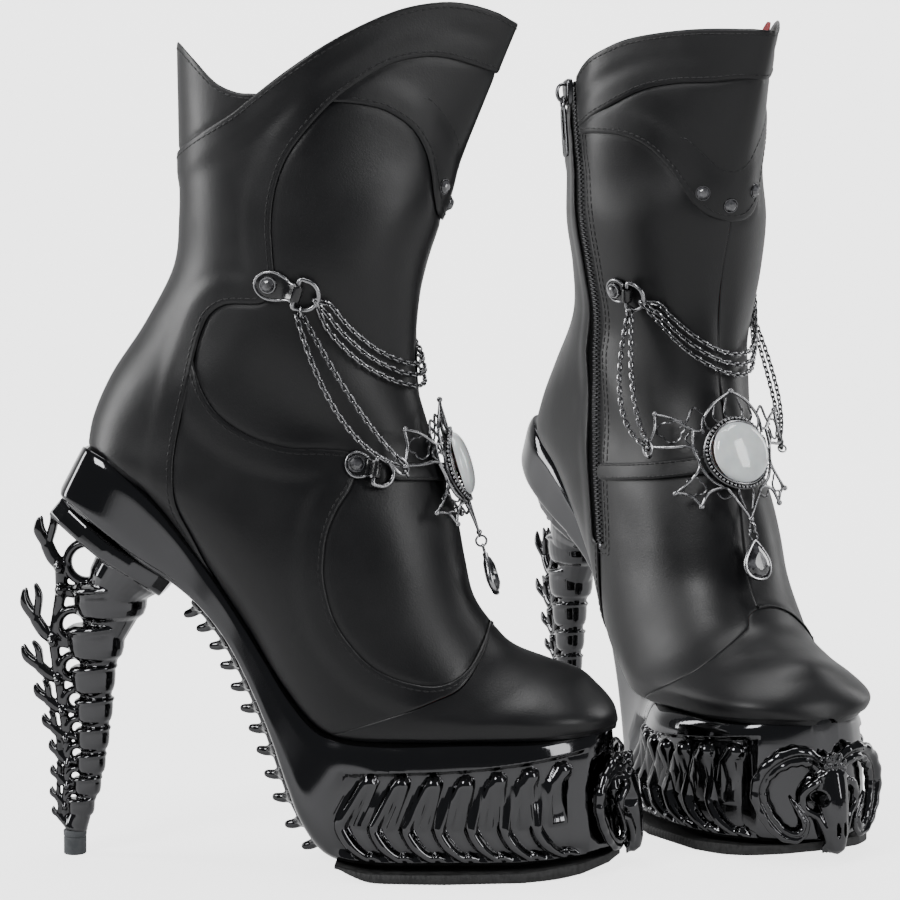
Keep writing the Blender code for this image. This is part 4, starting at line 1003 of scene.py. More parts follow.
def platform():
    """The moulded sole unit: seat, arch and platform, with bones in relief along its sides."""
    rows = sole_rows(700)
    a = turns(440)
    spread = a + 0.12 * np.sin(4 * a) - 0.22 * np.sin(2 * a)
    c, s = np.cos(spread), np.sin(spread)
    outline = boxy(np.stack((c, s), -1), 2 / SOLE_POWER)
    none = 0 * rows[:, 0]
    top, underside = (np.stack((rows[:, k], none, rows[:, k + 1]), -1) for k in (0, 2))
    middle, half = (top + underside) / 2, (top - underside) / 2
    width = np.where(outline[None, :, 0] > 0, rows[:, 5:6], rows[:, 4:5]) * outline[None, :, 0]
    points = middle[:, None] + half[:, None] * outline[None, :, 1:2]
    points[..., 1] += width
    # A low lip round the top edge, which the leather runs down into.
    ends = np.clip((rows[:, :1] - 205) / 7, 0, 1) + np.clip((4 - rows[:, :1]) / 8, 0, 1)
    edge = np.clip(np.clip((np.abs(outline[None, :, 0]) - 0.8) / 0.12, 0, 1) + ends, 0, 1)
    lift = LIP * edge * np.clip(outline[None, :, 1] * 3 - 2, 0, 1)
    points = points + unit(half)[:, None] * lift[..., None]
    across = np.roll(points, -1, 1) - np.roll(points, 1, 1)
    out = unit(np.cross(np.gradient(points, axis=0), across))
    centre = points.mean(1, keepdims=True)
    out *= np.sign(np.sum(out * (points - centre), -1, keepdims=True))
    wall = np.clip((np.hypot(out[..., 1], out[..., 0]) - 0.75) / 0.2, 0, 1)
    points = points + out * (relief(points[..., 0], points[..., 2]) * wall)[..., None]
    seat_line = line_field([(-8, 143), (2, 138.5), (13, 129.5), (24, 121.5), (36, 114), (44, 109)])
    groove = np.exp(-((seat_line(points[..., 0], points[..., 2]) - 2.5) / 0.9) ** 2)
    points = points - out * (0.7 * groove * (points[..., 0] < 44))[..., None]
    piece("platform", loft(points), "shell", ("platform",), angle=60)


# The tread from its rear edge to the toe, seen from the side: x, underside z, top z.
TREAD = [(108, 6.0, 6.8), (114, 2.9, 5.3), (122, 0.4, 4.0), (135, 0, 3.9), (150, 0, 4.0), (165, 0, 4.0),
         (180, 0, 4.0), (192, 0.2, 4.8), (202, 1.4, 5.6), (211, 3.0, 6.7), (215.5, 4.0, 7.6),
         (217.5, 4.4, 8.1)]
# How far apart the ridges round its edge are.
TOOTH_PITCH = 1.9


def outsole():
    """The rubber tread: a thin layer with upright ridges round its edge."""
    x, low, high = evenly(smooth_line(TREAD, 24), 0.5)[0].T
    xs = [row[2] for row in SOLE_ROWS]
    tooth = 0.7 + 0.35 * np.abs(((x / TOOTH_PITCH) % 1) * 2 - 1)
    lateral, medial = (np.interp(x, xs, [row[k] for row in SOLE_ROWS]) + tooth for k in (4, 5))
    rings = []
    for spot, bottom, top, outer, inner in zip(x, low, high - 0.1, lateral, medial):
        half = [(0, bottom), (0.4, bottom), (0.9, bottom), (0.985, bottom + 0.3), (1, bottom + 0.9),
                (1, top - 0.9), (0.985, top), (0.5, top), (0, top)]
        outline = half + [(-a, z) for a, z in half[-2:0:-1]]
        rings.append([(spot, (inner if a > 0 else outer) * a, z) for a, z in outline])
    piece("outsole", loft(rings), "rubber", ("outsole",), angle=50)


# One horn of the toe skull, seen from the front in millimetres: forward x, outward y, z, half width.
HORN = [
    (217.0, 4.5, 38.0, 3.6), (217.4, 11.0, 41.8, 3.9), (214.5, 18.5, 41.0, 4.1), (210.5, 25.0, 35.5, 4.2),
    (209.0, 27.4, 27.5, 4.0), (211.2, 24.6, 18.5, 3.6), (214.6, 19.6, 12.0, 3.0), (217.6, 14.4, 11.0, 2.5),
    (219.2, 12.0, 15.5, 1.9), (218.2, 14.4, 21.0, 1.4), (216.4, 17.4, 26.0, 0.9),
]


# The skull's face bones on one side, as points and radii: brow to cheek, cheek to jaw, beside the nose.
FACE_BONES = [
    ([(218.5, 3.2, 32.5), (219.8, 8.6, 31.4), (217.4, 12.2, 27.0), (217.8, 11.4, 21.6), (220.6, 7.2, 18.8)],
     (1.5, 2.0, 1.9, 1.7, 1.6)),
    ([(220.6, 7.2, 18.8), (222.0, 5.0, 14.0), (222.4, 3.6, 9.0)], (1.7, 1.7, 1.3)),
    ([(223.6, 0.6, 20), (224.2, 2.4, 14.5), (223.8, 1.6, 9.6)], (0.9, 0.9, 0.9)),
]


def skull():
    """A small horned animal skull on the toe, facing forward and down."""
    snout = [(216, 0, 32), (219.6, 0, 24), (222.0, 0, 15), (222.6, 0, 8)]
    parts = [ball((213.0, 0, 29), (8.0, 11.5, 10)),
             taper(snout, (8.6, 6.8, 5.0, 4.0), sides=18),
             taper([(221.2, -2.6, 7.6), (222.6, 0, 6.4), (221.2, 2.6, 7.6)], (2.4, 2.8, 2.4), (0, 0, 1))]
    rose = np.array((219.4, 0, 38.2))
    parts.append(ball(rose, (2.6, 5.4, 5.2)))
    for count, far, size in ((9, 4.4, 1.35), (6, 2.5, 1.2)):
        for a in turns(count):
            parts.append(ball(rose + (2.2, far * math.cos(a), far * math.sin(a)), (1.3, size, size)))
    parts.append(ball(rose + (2.8, 0, 0), (1.2, 1.1, 1.1)))
    for side in (1, -1):
        line = smooth_line([(x, side * y, z) for x, y, z, _ in HORN], 7)
        wide = spread_out([row[3] for row in HORN], len(line))
        ripple = 1 + 0.07 * np.sin(np.arange(len(line)) * 1.35)
        groove = [(a, b - (0.42 if b > 0 and abs(a) < 0.3 else 0)) for a, b in circle(1, 16, 0.62)]
        rings = [[(a * w, b * w) for a, b in groove] for w in wide * ripple]
        parts.append(sweep(line, (1, 0, 0), rings))
        for bone, radii in FACE_BONES:
            parts.append(taper([(x, side * y, z) for x, y, z in bone], radii))
        for n in range(4):
            spot = 1.0 + n * 1.25
            tooth = [(222.0 - 0.5 * n, side * spot, 6.6), (221.8 - 0.5 * n, side * spot, 4.4)]
            parts.append(taper(tooth, (0.75, 0.5)))
    body = moulded(parts, 0.42, 2)
    sockets = [ball((223.0, side * 7.4, 25.8), (6.0, 3.3, 3.4)) for side in (1, -1)]
    sockets += [ball((226.6, side * 1.5, 14.0), (3.6, 0.9, 3.2)) for side in (1, -1)]
    piece("toe_skull", carved(body, sockets), "shell", ("toe_skull",), angle=60)


def carved(body, tools):
    """A body with hollows pressed in where the tools are."""
    points, faces = body
    points = points.copy()
    for tool, _ in tools:
        low, high = tool.min(0), tool.max(0)
        centre, radii = (low + high) / 2, (high - low) / 2
        gap = (points - centre) / radii
        away = np.linalg.norm(gap, axis=1, keepdims=True)
        inside = away[:, 0] < 1
        deep = 0.75 * radii[0] * (1 - away[inside] ** 2)
        points[inside] -= np.hstack((deep, 0 * deep, 0 * deep))
    return points, faces


def arch_spine():
    """The strip of leaf-shaped vertebrae under the arch, with blunt spikes."""
    line = smooth_line([(row[2], row[3]) for row in SOLE_ROWS[4:12]], 14)
    path = evenly(line, 0.8)[0]
    run = unit(np.gradient(path, axis=0))
    parts, centres = [], []
    spots = np.linspace(np.argmax(path[:, 0] > 53), len(path) - 6, 12).astype(int)
    for i, k in enumerate(spots):
        along = np.array((run[k][0], 0, run[k][1]))
        out = np.array((along[2], 0, -along[0]))
        middle = (sole_width(path[k][0], -1) - sole_width(path[k][0], 1)) / 2
        centre = np.array((path[k][0], middle, path[k][1])) + out * 2.4
        centres.append(centre)
        bead = [centre + along * step for step in (-2.6, -2.0, 1.6, 2.5)]
        parts.append(tube(bead, (3.2, 4.6, 4.2, 2.8), out, 14, squash=0.8))
        parts.append(taper([centre, centre + out * 4.0 - along * 0.5, centre + out * 6.6 - along * 1.8],
                           (2.7, 2.1, 1.7), along))
        for side in (1, -1):
            wing = [centre, centre + np.array((0, side * 5.0, 0)) - along * 0.6,
                    centre + np.array((0, side * 10.5, 0)) - along * 3.2 - out * 0.6]
            parts.append(taper(wing, (2.7, 2.3, 1.1), out))
            hook = [wing[1] + out * 0.4, wing[1] + out * 2.6 - along * 1.2]
            parts.append(taper(hook, (1.4, 1.0), along))
    parts.append(tube(centres, 2.6, (0, 1, 0), 12))
    piece("arch_spine", moulded(parts, 0.5, 3), "shell", ("arch_spine",), angle=60)


# The heel's rear processes, seen from the side: knob, outer fingertip, inner fingertip.
PROCESSES = [
    ((-5.8, 115.0), (-14.2, 134.2), (-9.2, 136.6)), ((-8.6, 85.4), (-20.4, 105.4), (-16.0, 107.4)),
    ((-6.4, 69.8), (-21.0, 82.8), (-17.0, 84.6)), ((-4.6, 57.4), (-16.0, 67.4), (-12.8, 69.2)),
    ((-3.2, 46.6), (-12.8, 55.2), (-10.2, 56.8)), ((-2.8, 36.6), (-9.8, 45.0), (-7.4, 46.4)),
    ((-3.0, 27.6), (-9.4, 34.8), (-7.2, 36.6)), ((-3.8, 19.4), (-9.6, 26.2), (-7.4, 28.2)),
    ((-3.4, 12.4), (-9.0, 18.4), (-7.0, 20.2)),
]
# The round windows between the processes and the column: centre x, z and radius.
WINDOWS = [(4.6, 116.6, 6.4), (-0.8, 91.6, 4.6), (-0.6, 74.6, 3.5), (0.2, 61.4, 2.9), (1.0, 50.2, 2.5),
           (0.8, 40.0, 2.2), (0.2, 30.8, 2.0), (-0.6, 22.0, 1.8)]


def heel():
    """The heel: a cup under the seat, a column of vertebrae and forked processes behind it."""
    parts = []
    cup = [(-6.4, 139.6), (-2, 136), (6, 129.8), (15, 123.0), (25, 116.6), (34, 110.6), (38, 107.4)]
    widths = (9, 13.5, 17.5, 19.5, 19, 15.5, 11)
    section = [boxy(circle(1, 24), 0.45) * (width, 5.2) for width in widths]
    parts.append(sweep([(x + 0.2, 0, z + 0.5) for x, z in cup], (0.6, 0, 0.8), section))
    neck = [(24, 0, 117), (21, 0, 112.5), (17.8, 0, 108.5), (16.2, 0, 104)]
    parts.append(tube(neck, (15.5, 14.5, 13.0, 11.5), (0, 1, 0), 28, squash=1.15))
    profile = ((0.98, 0.82), (0.93, 1.02), (0.76, 1.08), (0.58, 0.97), (0.2, 0.98), (-0.3, 0.95),
               (-0.68, 0.88), (-0.9, 0.74), (-1.0, 0.5))
    for i, (x, z, depth, half) in enumerate(VERTEBRAE):
        depth += 0.7
        middle = x + 0.07 * depth - 0.2
        rings = []
        for h, k in profile:
            flare = depth * (0.09 if k > 0.96 else 0)
            rings.append([(middle + depth * k * a, depth * k * b * 0.88, z + half * h + flare * a)
                          for a, b in circle(1, 32)])
        parts.append(loft(rings))
        if i + 1 < len(VERTEBRAE):
            x2, z2, depth2, _ = VERTEBRAE[i + 1]
            necks = [(x + 0.26 * depth, 0, z), (x2 + 0.26 * depth2, 0, z2)]
            parts.append(tube(necks, (0.68 * depth, 0.68 * depth2), (0, 1, 0), 16))
    x, z, depth, _ = VERTEBRAE[-1]
    parts.append(tube([(x + 0.3, 0, z), (1.6, 0, 14.5), (0.6, 0, 11.5), (0.3, 0, 9.7)], (4.2, 4.5, 4.6, 4.8),
                      (0, 1, 0), 28))
    for i, (x, z, radius) in enumerate(WINDOWS):
        thick = 2.0 - 0.1 * i
        hoop = [(x + (radius + thick * 0.7) * a, 0, z + (radius + thick * 0.7) * b) for a, b in circle(1, 28)]
        parts.append(tube(hoop, thick, (0, 1, 0), 10, loop=True, squash=1.5))
    parts.append(ball((-5.4, 0, 105.4), (2.9, 4.6, 2.9)))
    roots = [(-5.4, 105.4)] + [root for root, _, _ in PROCESSES[1:]]
    for i, (a, b) in enumerate(zip(roots, roots[1:])):
        bow = ((a[0] + b[0]) / 2 - 0.4, (a[1] + b[1]) / 2)
        thick = 2.6 - 0.13 * i
        parts.append(taper([(x, 0, z) for x, z in (a, bow, b)], (thick, thick * 0.8, thick)))
    links = [(-5.8, 115.0, -5.4, 105.4, 2.6), (-5.4, 105.4, 5.0, 104.0, 2.8), (-8.6, 85.4, 1, 83.5, 2.5),
             (-3.6, 12.8, 1.0, 13.5, 2.2)]
    for x, z, x2, z2, r in links:
        parts.append(taper([(x, 0, z), (x2, 0, z2)], (r, r)))
    for i, (root, outer, inner) in enumerate(PROCESSES):
        size = 1.0 - 0.065 * i
        knob, outer, inner = (np.array((p[0], 0, p[1])) for p in (root, outer, inner))
        whole = (outer + inner) / 2 - knob
        bow = np.cross(whole, (0, 1, 0)) * 0.14
        fork = knob + whole * 0.45 + bow
        parts.append(ball(knob, (3.1 * size, 4.4 * size, 3.0 * size)))
        stem = [knob, knob + whole * 0.2 + bow * 0.7, fork]
        parts.append(taper(stem, (2.7 * size, 2.9 * size, 2.8 * size)))
        for side in (1, -1):
            spread = np.array((0, side * 2.6 * size, 0))
            parts.append(ball(knob + spread * 1.3 - (0, 0, 0.8), (1.9 * size, 1.9 * size, 1.9 * size)))
            for tip, wide, r in ((outer, 1.0, 2.1), (inner, 0.5, 1.7)):
                near = knob + (tip - knob) * 0.78 + bow * (0.75 if wide == 1.0 else 0.1) + spread * wide * 0.8
                last = tip + spread * wide
                parts.append(taper([fork, near, last], (r * 1.1 * size, r * size, 0.75 * size), steps=6))
    piece("heel_spine", moulded(parts, 0.42, 4), "shell", ("heel_spine",), angle=60)
    levels = ((0.0, 4.2), (0.25, 4.5), (6.6, 4.55), (6.8, 4.3), (7.1, 4.3), (7.3, 4.6), (9.2, 4.7),
              (9.6, 4.4))
    tip = loft([[(a * r, b * r, z) for a, b in circle(1, 40)] for z, r in levels])
    piece("heel_tip", tip, "tip", ("heel_tip",), angle=45)


# ---------------------------------------------------------------- hardware


def hanger(spot, side):
    """A ring holder's frame: the bar's centre off the leather, along the run, along the bar, and outward."""
    x, z = spot
    centre, out = on_leather(x, z, side, 3.2)
    ahead, _ = on_leather(x + 4, z - 1.2, side, 3.2)
    along = unit(ahead - centre)
    bar = unit(np.cross(out, along))
    face = np.cross(bar, along)
    return centre, along, bar, face if face @ out > 0 else -face


LATERAL, MEDIAL, LOWER = hanger(RING_LATERAL, 1), hanger(RING_MEDIAL, -1), hanger(TAB_LOWER, 1)


def d_ring(place, width, reach, wire=WIRE):
    """A D-ring: a straight bar and a bow in front of it."""
    centre, along, bar, out = place
    angles = np.linspace(0.15, math.pi - 0.15, 22)
    bow = [(width * math.cos(a), reach * (0.35 + 0.65 * math.sin(a))) for a in angles]
    corner = [(width - 0.25, 0.25), (width, 0.9), (width, 1.6)]
    outline = [(a, 0) for a in np.linspace(-width + 0.9, width - 0.9, 8)]
    outline += corner + bow + [(-a, b) for a, b in corner[::-1]]
    path = np.array([centre + bar * a + along * b for a, b in outline])
    return tube(path, wire, out, 12, loop=True)


# How far a tab's leaf ends behind its ring's bar.
FOLD = 1.6


def tab(name, place, side, length, width):
    """A leaf-shaped tab with a bright rim and a set crystal, folded round a ring's bar."""
    centre, along, bar, out = place
    half = [(0.0, 0.0), (0.012, 0.24), (0.06, 0.50), (0.16, 0.78), (0.32, 0.98), (0.50, 1.0), (0.7, 0.86),
            (0.88, 0.66), (1.0, 0.60)]
    tip = smooth_line(half, 4)[1:]

    def leaf(u, v, lift):
        """The leaf's point at a share of its length from the tip, beside its middle line and lifted."""
        spot = centre - along * (FOLD + length * (1 - u)) + bar * v
        point, up = on_leather(spot[0], spot[2], side, lift)
        share = min(max((u - 0.72) / 0.28, 0), 1) ** 1.5
        wrapped = spot + out * (1.6 + lift * 0.6)
        return point * (1 - share) + (wrapped - out * 0.4) * share, up

    rows = []
    for u, w in tip:
        row = [leaf(u, v * w * width, 1.1 + 0.35 * (1 - v * v))[0] for v in np.linspace(-1, 1, 9)]
        row += [leaf(u, v * w * width, -0.1)[0] for v in np.linspace(1, -1, 9)]
        rows.append(row)
    piece(f"{name}_plate", loft(rows), "enamel", (name,))
    rim = [*tip[::-1]] + [(u, -w) for u, w in tip]
    path, ups = zip(*[leaf(u, w * width, 1.15) for u, w in rim])
    silver = [tube(np.array(path), 0.64, np.array(ups), 10)]
    centre_spot, up = leaf(0.36, 0, 0.9)
    ahead, _ = leaf(0.46, 0, 0.9)
    run = unit(ahead - centre_spot)
    across = unit(np.cross(up, run))
    run = np.cross(across, up)

    def disc(levels, sides):
        """A turned body on the leaf, through levels of height and radius."""
        return loft([[centre_spot + up * w + run * a * r + across * b * r for a, b in circle(1, sides)]
                     for w, r in levels])

    silver.append(disc(((0.2, 3.5), (1.3, 3.45), (1.75, 3.15), (1.75, 2.75), (1.1, 2.6)), 32))
    turn = np.radians(np.linspace(-70, 190, 12))[:, None]
    curl = 1.9 * (along * np.cos(turn) + out * np.sin(turn))
    section = boxy(circle(1, 20), 0.5) * (width * 0.62, 0.55)
    piece(f"{name}_fold", sweep(centre + curl, curl, section), "enamel")
    piece(f"{name}_rim", merge(silver), "silver")
    stone = disc(((0.9, 2.75), (1.7, 2.7), (2.5, 1.95), (2.75, 1.2), (2.76, 0.3)), 8)
    piece(f"{name}_crystal", stone, "crystal", angle=8)


def chain_link(length, width, wire):
    """An oval link, along its first direction."""
    a = turns(14) + 0.2
    bend = width / 2 - wire
    straight = np.copysign((length - width) / 2, np.cos(a))
    path = np.stack((straight + bend * np.cos(a), bend * np.sin(a), 0 * a), -1)
    return tube(path, wire, (0, 0, 1), 7, loop=True)


LINK = chain_link(4.0, 2.35, 0.36)
LINK_PITCH = 2.5


def links(path, out, start=0):
    """A run of chain: oval links along a path, turned a quarter turn from one to the next."""
    path, out = evenly(path, LINK_PITCH, out)
    along, across, upward = directions(path, out)
    odd = (np.arange(len(path)) + start) % 2 == 1
    quarter = np.where(odd, 1.0, -1.0)[:, None] * math.pi / 4 + 0.12
    side = across * np.cos(quarter) + upward * np.sin(quarter)
    return copies(LINK, path, along, side, np.cross(along, side))


def jump_ring(centre, normal_way, along, radius, wire=0.45, squash=1.0):
    """A round or oval ring of wire."""
    flat = unit(np.cross(normal_way, along))
    path = [centre + along * radius * math.cos(a) + flat * radius * squash * math.sin(a) for a in turns(24)]
    return tube(np.array(path), wire, normal_way, 8, loop=True)


def swag():
    """Three chains that hang round the front between the upper rings."""
    ends = [place[0] + place[1] * 13 for place in (LATERAL, MEDIAL)]
    swing = [find(end[0], end[2], side)[1] for end, side in zip(ends, (1, -1))]
    made = []
    for k in range(3):
        path, outs = [], []
        for t in np.linspace(0, 1, 31):
            sag = (2 * t - 1) ** 2
            z = (ends[0][2] + (ends[1][2] - ends[0][2]) * t - 4.0 * k) * sag + (197 - 4.4 * k) * (1 - sag)
            point, out = around_front(z, swing[0] + (swing[1] - swing[0]) * t, 2.3 + 0.5 * (k == 1))
            path.append(point)
            outs.append(out)
        first, last = (place[0] + place[1] * 8.4 - place[2] * place[2][2] * 0.5 + np.array((0, 0, -0.8 * k))
                       for place in (LATERAL, MEDIAL))
        made.append(links(np.array([first, *path, last]), np.array([LATERAL[3], *outs, MEDIAL[3]]), k))
    piece("swag_chain", merge(made), "silver", ("swag_chain",), "swag_chain")


def medallion_frame():
    """The medallion's centre on the strap, up along its face, across, and outward."""
    spot, _ = around_front(MEDALLION_Z, 0)
    out = np.array((0.958, 0, 0.287))
    return spot + out * 6.2, np.array((-0.287, 0, 0.958)), np.array((0, 1, 0)), out


BADGE = medallion_frame()
# The medallion's wings bend back by the square of their reach over this, in millimetres.
BACK_BEND = 62


def at(a, b, w=0.0):
    """A point of the medallion: across, up, and out of its curved face."""
    centre, up, across, out = BADGE
    return centre + across * a + up * b + out * (w - a * a / BACK_BEND)


def drops():
    """Two pairs of chains that hang from the upper rings to the medallion's wings."""
    for name, place, side in (("lateral", LATERAL, -1), ("medial", MEDIAL, 1)):
        start = place[0] + place[1] * 1.5 + np.array((0, 0, -8.2))
        wing = at(side * 33.5, 4.4)
        tie = start + (wing - start) * 0.93
        out = unit(np.array((0.35, side, 0)))
        apart = unit(np.cross(wing - start, out)) * side
        made = []
        for k in (-1, 1):
            path = []
            for t in np.linspace(0, 1, 24):
                bow = 4 * t * (1 - t)
                path.append(start + (tie - start) * t + np.array((0, side * 5.5 * bow, -8 * bow))
                            + apart * k * (1.2 + 2.6 * bow))
            made.append(links(np.array(path), np.broadcast_to(out, (24, 3)), k))
        run = unit(wing - start)
        made.append(jump_ring(tie + run * 1.4, out, run, 3.6, 0.55, 0.66))
        made.append(jump_ring(wing - run * 0.2, np.cross(run, out), run, 1.7, 0.42))
        upward = np.array((0, 0, 1))
        made.append(jump_ring(start + upward * 1.6, np.cross(place[1], out), upward, 2.2))
        piece(f"drop_chain_{name}", merge(made), "silver", (f"drop_chain_{name}",), f"drop_chain_{name}")


def rings():
    """The two upper D-rings."""
    for side, place in (("lateral", LATERAL), ("medial", MEDIAL)):
        name = f"ring_upper_{side}"
        piece(name, d_ring(place, 5.8, 8.8), "silver", (name,), name)


def strap():
    """The narrow strap round the ankle, stitched along both edges, with its D-ring."""
    line = smooth_line(STRAP, 10)
    out = normal(line[:, 0], line[:, 1])
    path, out = evenly(skin(line[:, 0], line[:, 1]) + out * 1.3, 1.0, out)
    outline = boxy(circle(1, 24), 0.45) * (3.7, 0.8)
    rounded = (0.45, 0.75, 0.9, 0.97)
    grown = np.array([*rounded, *np.ones(len(path) - 8), *rounded[::-1]])
    section = outline[None] * np.stack((grown, np.ones(len(path))), -1)[:, None]
    piece("strap", sweep(path, out, section), "leather", ("strap",))
    _, across, upward = directions(path, out)
    rows = [(path[3:-3] + across[3:-3] * k * 2.7, out[3:-3]) for k in (-1, 1)]
    piece("strap_stitches", stitches(rows, 0.8, 2.5), "thread")
    centre, along, bar, face = LOWER
    piece("strap_ring", d_ring((centre, unit(along - face * 0.24), bar, face), 5.4, 8.5), "silver")


def wire(spots, radius, steps=8):
    """A wire of the tracery through spots (across, up) on the medallion's face, and its mirror image."""
    made = []
    for side in (1, -1):
        line = smooth_line([(side * a, b) for a, b in spots], steps)
        radii = radius * spread_out((1.0, 1.15, 0.8), len(line))
        made.append(tube(np.array([at(*p) for p in line]), radii, BADGE[3], 9))
    return made


def trefoil(hub, size, tilt):
    """A three-lobed opening's rim on both wings, as one wavy line."""
    made = []
    for side in (1, -1):
        a = turns(54)
        lobe = size * (0.74 + 0.34 * np.abs(np.cos(1.5 * (a - tilt))))
        spots = zip(side * (hub[0] + lobe * np.cos(a)), hub[1] + lobe * np.sin(a))
        made.append(tube(np.array([at(b, c, -0.2) for b, c in spots]), 0.42, BADGE[3], 7, loop=True))
    return made


# The tracery's right half, as wires through spots (across, up) in millimetres, first the bright front
# arches and then the bars behind them, which get a darker copy of the silver as painted shade.
ARCHES = [
    [(14.6, 9.0), (13.6, 15.5), (8.0, 22.0), (0.0, 26.6)],
    [(15.0, 10.8), (18.4, 11.6), (24.0, 17.2), (29.6, 20.6)],
    [(29.8, 20.6), (30.6, 14.0), (33.4, 7.6)],
    [(33.4, 7.6), (27.0, 5.6), (20.5, 4.8), (17.4, 2.0)],
    [(17.9, 11.4), (18.9, 4.0), (17.5, -3.8), (21.4, -9.4), (27.0, -13.6)],
    [(27.0, -13.6), (22.0, -16.0), (19.2, -20.8)],
    [(19.2, -20.8), (15.6, -15.6), (9.2, -14.4), (6.5, -17.6), (0.0, -28.0)],
    [(17.5, -3.8), (14.0, -10.5), (9.2, -14.4)],
]
BARS = [
    [(13.4, 17.6), (16.8, 20.6), (19.6, 15.6), (22.4, 13.2)],
    [(3.4, 14.4), (4.4, 18.0), (2.6, 23.6)],
    [(7.6, 13.2), (9.4, 16.2), (8.4, 20.6)],
    [(11.4, 10.8), (13.0, 12.2), (13.4, 15.8)],
    [(3.0, -14.6), (3.4, -18.0), (1.6, -23.8)],
    [(6.5, -17.6), (10.4, -18.8), (12.6, -16.0)],
    [(19.6, 10.4), (21.2, 7.4), (19.2, 4.6)],
]
CORNERS = [(0.0, 26.6), (29.8, 20.8), (33.4, 7.4), (27.2, -13.8), (19.2, -21.0), (0.0, -28.2)]
BEADS = 52


def medallion():
    """A pointed tracery of thin arches round a beaded stone, bent back at its wings."""
    _, _, across, out = BADGE
    seat = STONE_RADIUS + 0.8
    bright = [tube([at(a, b, 1.1) for a, b in circle(seat + 0.1, 72)], 0.62, out, 10, loop=True)]
    for a, b in circle(seat + 1.35, BEADS):
        bright.append(ball(at(a, b, 1.0), (0.72, 0.72, 0.72), 7, 10))
    for spots in ARCHES:
        bright += wire(spots, 0.62)
    for a, b in CORNERS:
        for side in (1, -1) if a else (1,):
            bright.append(ball(at(side * a, b, 0.2), (1.2, 1.2, 1.2), 8, 12))
    bright.append(tube([at(0, -28.0), at(0, -29.2, 0.1), at(0, -30.2, 0.2)], 0.7, across, 8))
    # Painted shade: the stone's seat ring, the bars and the trefoils behind the front arches get the darker
    # copy of the silver.
    dark = [loft([[at(a * r, b * r, w) for a, b in circle(1, 60)] for w, r in
                  ((-0.9, seat + 1.2), (-0.6, seat + 2.2), (0.2, seat + 2.3), (0.5, seat + 1.9))])]
    for spots in BARS:
        dark += wire(spots, 0.48)
    dark += trefoil((25.2, 12.4), 4.6, 0.5) + trefoil((20.4, -12.6), 3.9, -0.55)
    piece("medallion_frame", merge(bright), "silver", ("medallion",), "medallion")
    piece("medallion_filigree", merge(dark), "shaded_silver", body="medallion")
    levels = [(math.sin(t) * 4.9 + 0.5, math.cos(t) ** 0.8) for t in np.linspace(0, 1.5, 14)]
    stone = [[at(a * r, b * r, w) + out * (a * r) ** 2 / BACK_BEND for a, b in circle(seat - 0.2, 64)]
             for w, r in levels]
    piece("medallion_stone", loft(stone), "stone", ("cabochon",), "medallion")


def pendant():
    """A faceted drop in a bright collar on two jump rings, hanging under the medallion."""
    _, up, across, out = BADGE
    top = -32.2
    silver = [jump_ring(at(0, top + 0.4), across, up, 2.1), jump_ring(at(0, top - 3.0), out, up, 1.9)]
    edge = smooth_line([(0.0, -5.0), (2.3, -7.6), (4.9, -11.8), (5.9, -15.2), (5.1, -18.6), (2.9, -20.6),
                        (0, -21.3)], 6)
    loop = [*edge] + [(-a, b) for a, b in edge[-2:0:-1]]
    rim = np.array([at(a, top + b) for a, b in loop])
    silver.append(tube(rim, 0.75, out, 10, loop=True, squash=1.5))
    piece("pendant_collar", merge(silver), "silver", body="pendant")
    middle = -14.2
    drop = loop[::3]
    rings = []
    for share, depth in ((0.3, -2.4), (0.65, -1.9), (0.93, -0.6), (0.93, 0.5), (0.78, 1.7), (0.5, 2.5),
                         (0.46, 2.55)):
        rings.append([at(a * share, top + middle + (b - middle) * share, depth) for a, b in drop])
    piece("pendant_drop", loft(rings), "crystal", ("pendant",), "pendant", angle=5)


def zip_frame():
    """Where the zip slider starts: its centre above the teeth, up along the zip, across, and outward."""
    top, out = on_leather(zip_x(ZIP_TOP - 6), ZIP_TOP - 6, -1)
    low, _ = on_leather(zip_x(ZIP_TOP - 6 - SLIDER_TRAVEL), ZIP_TOP - 6 - SLIDER_TRAVEL, -1)
    up = unit(top - low)
    across = unit(np.cross(up, out))
    face = np.cross(across, up)
    return top + face * SLIDER_LIFT, up, across, face


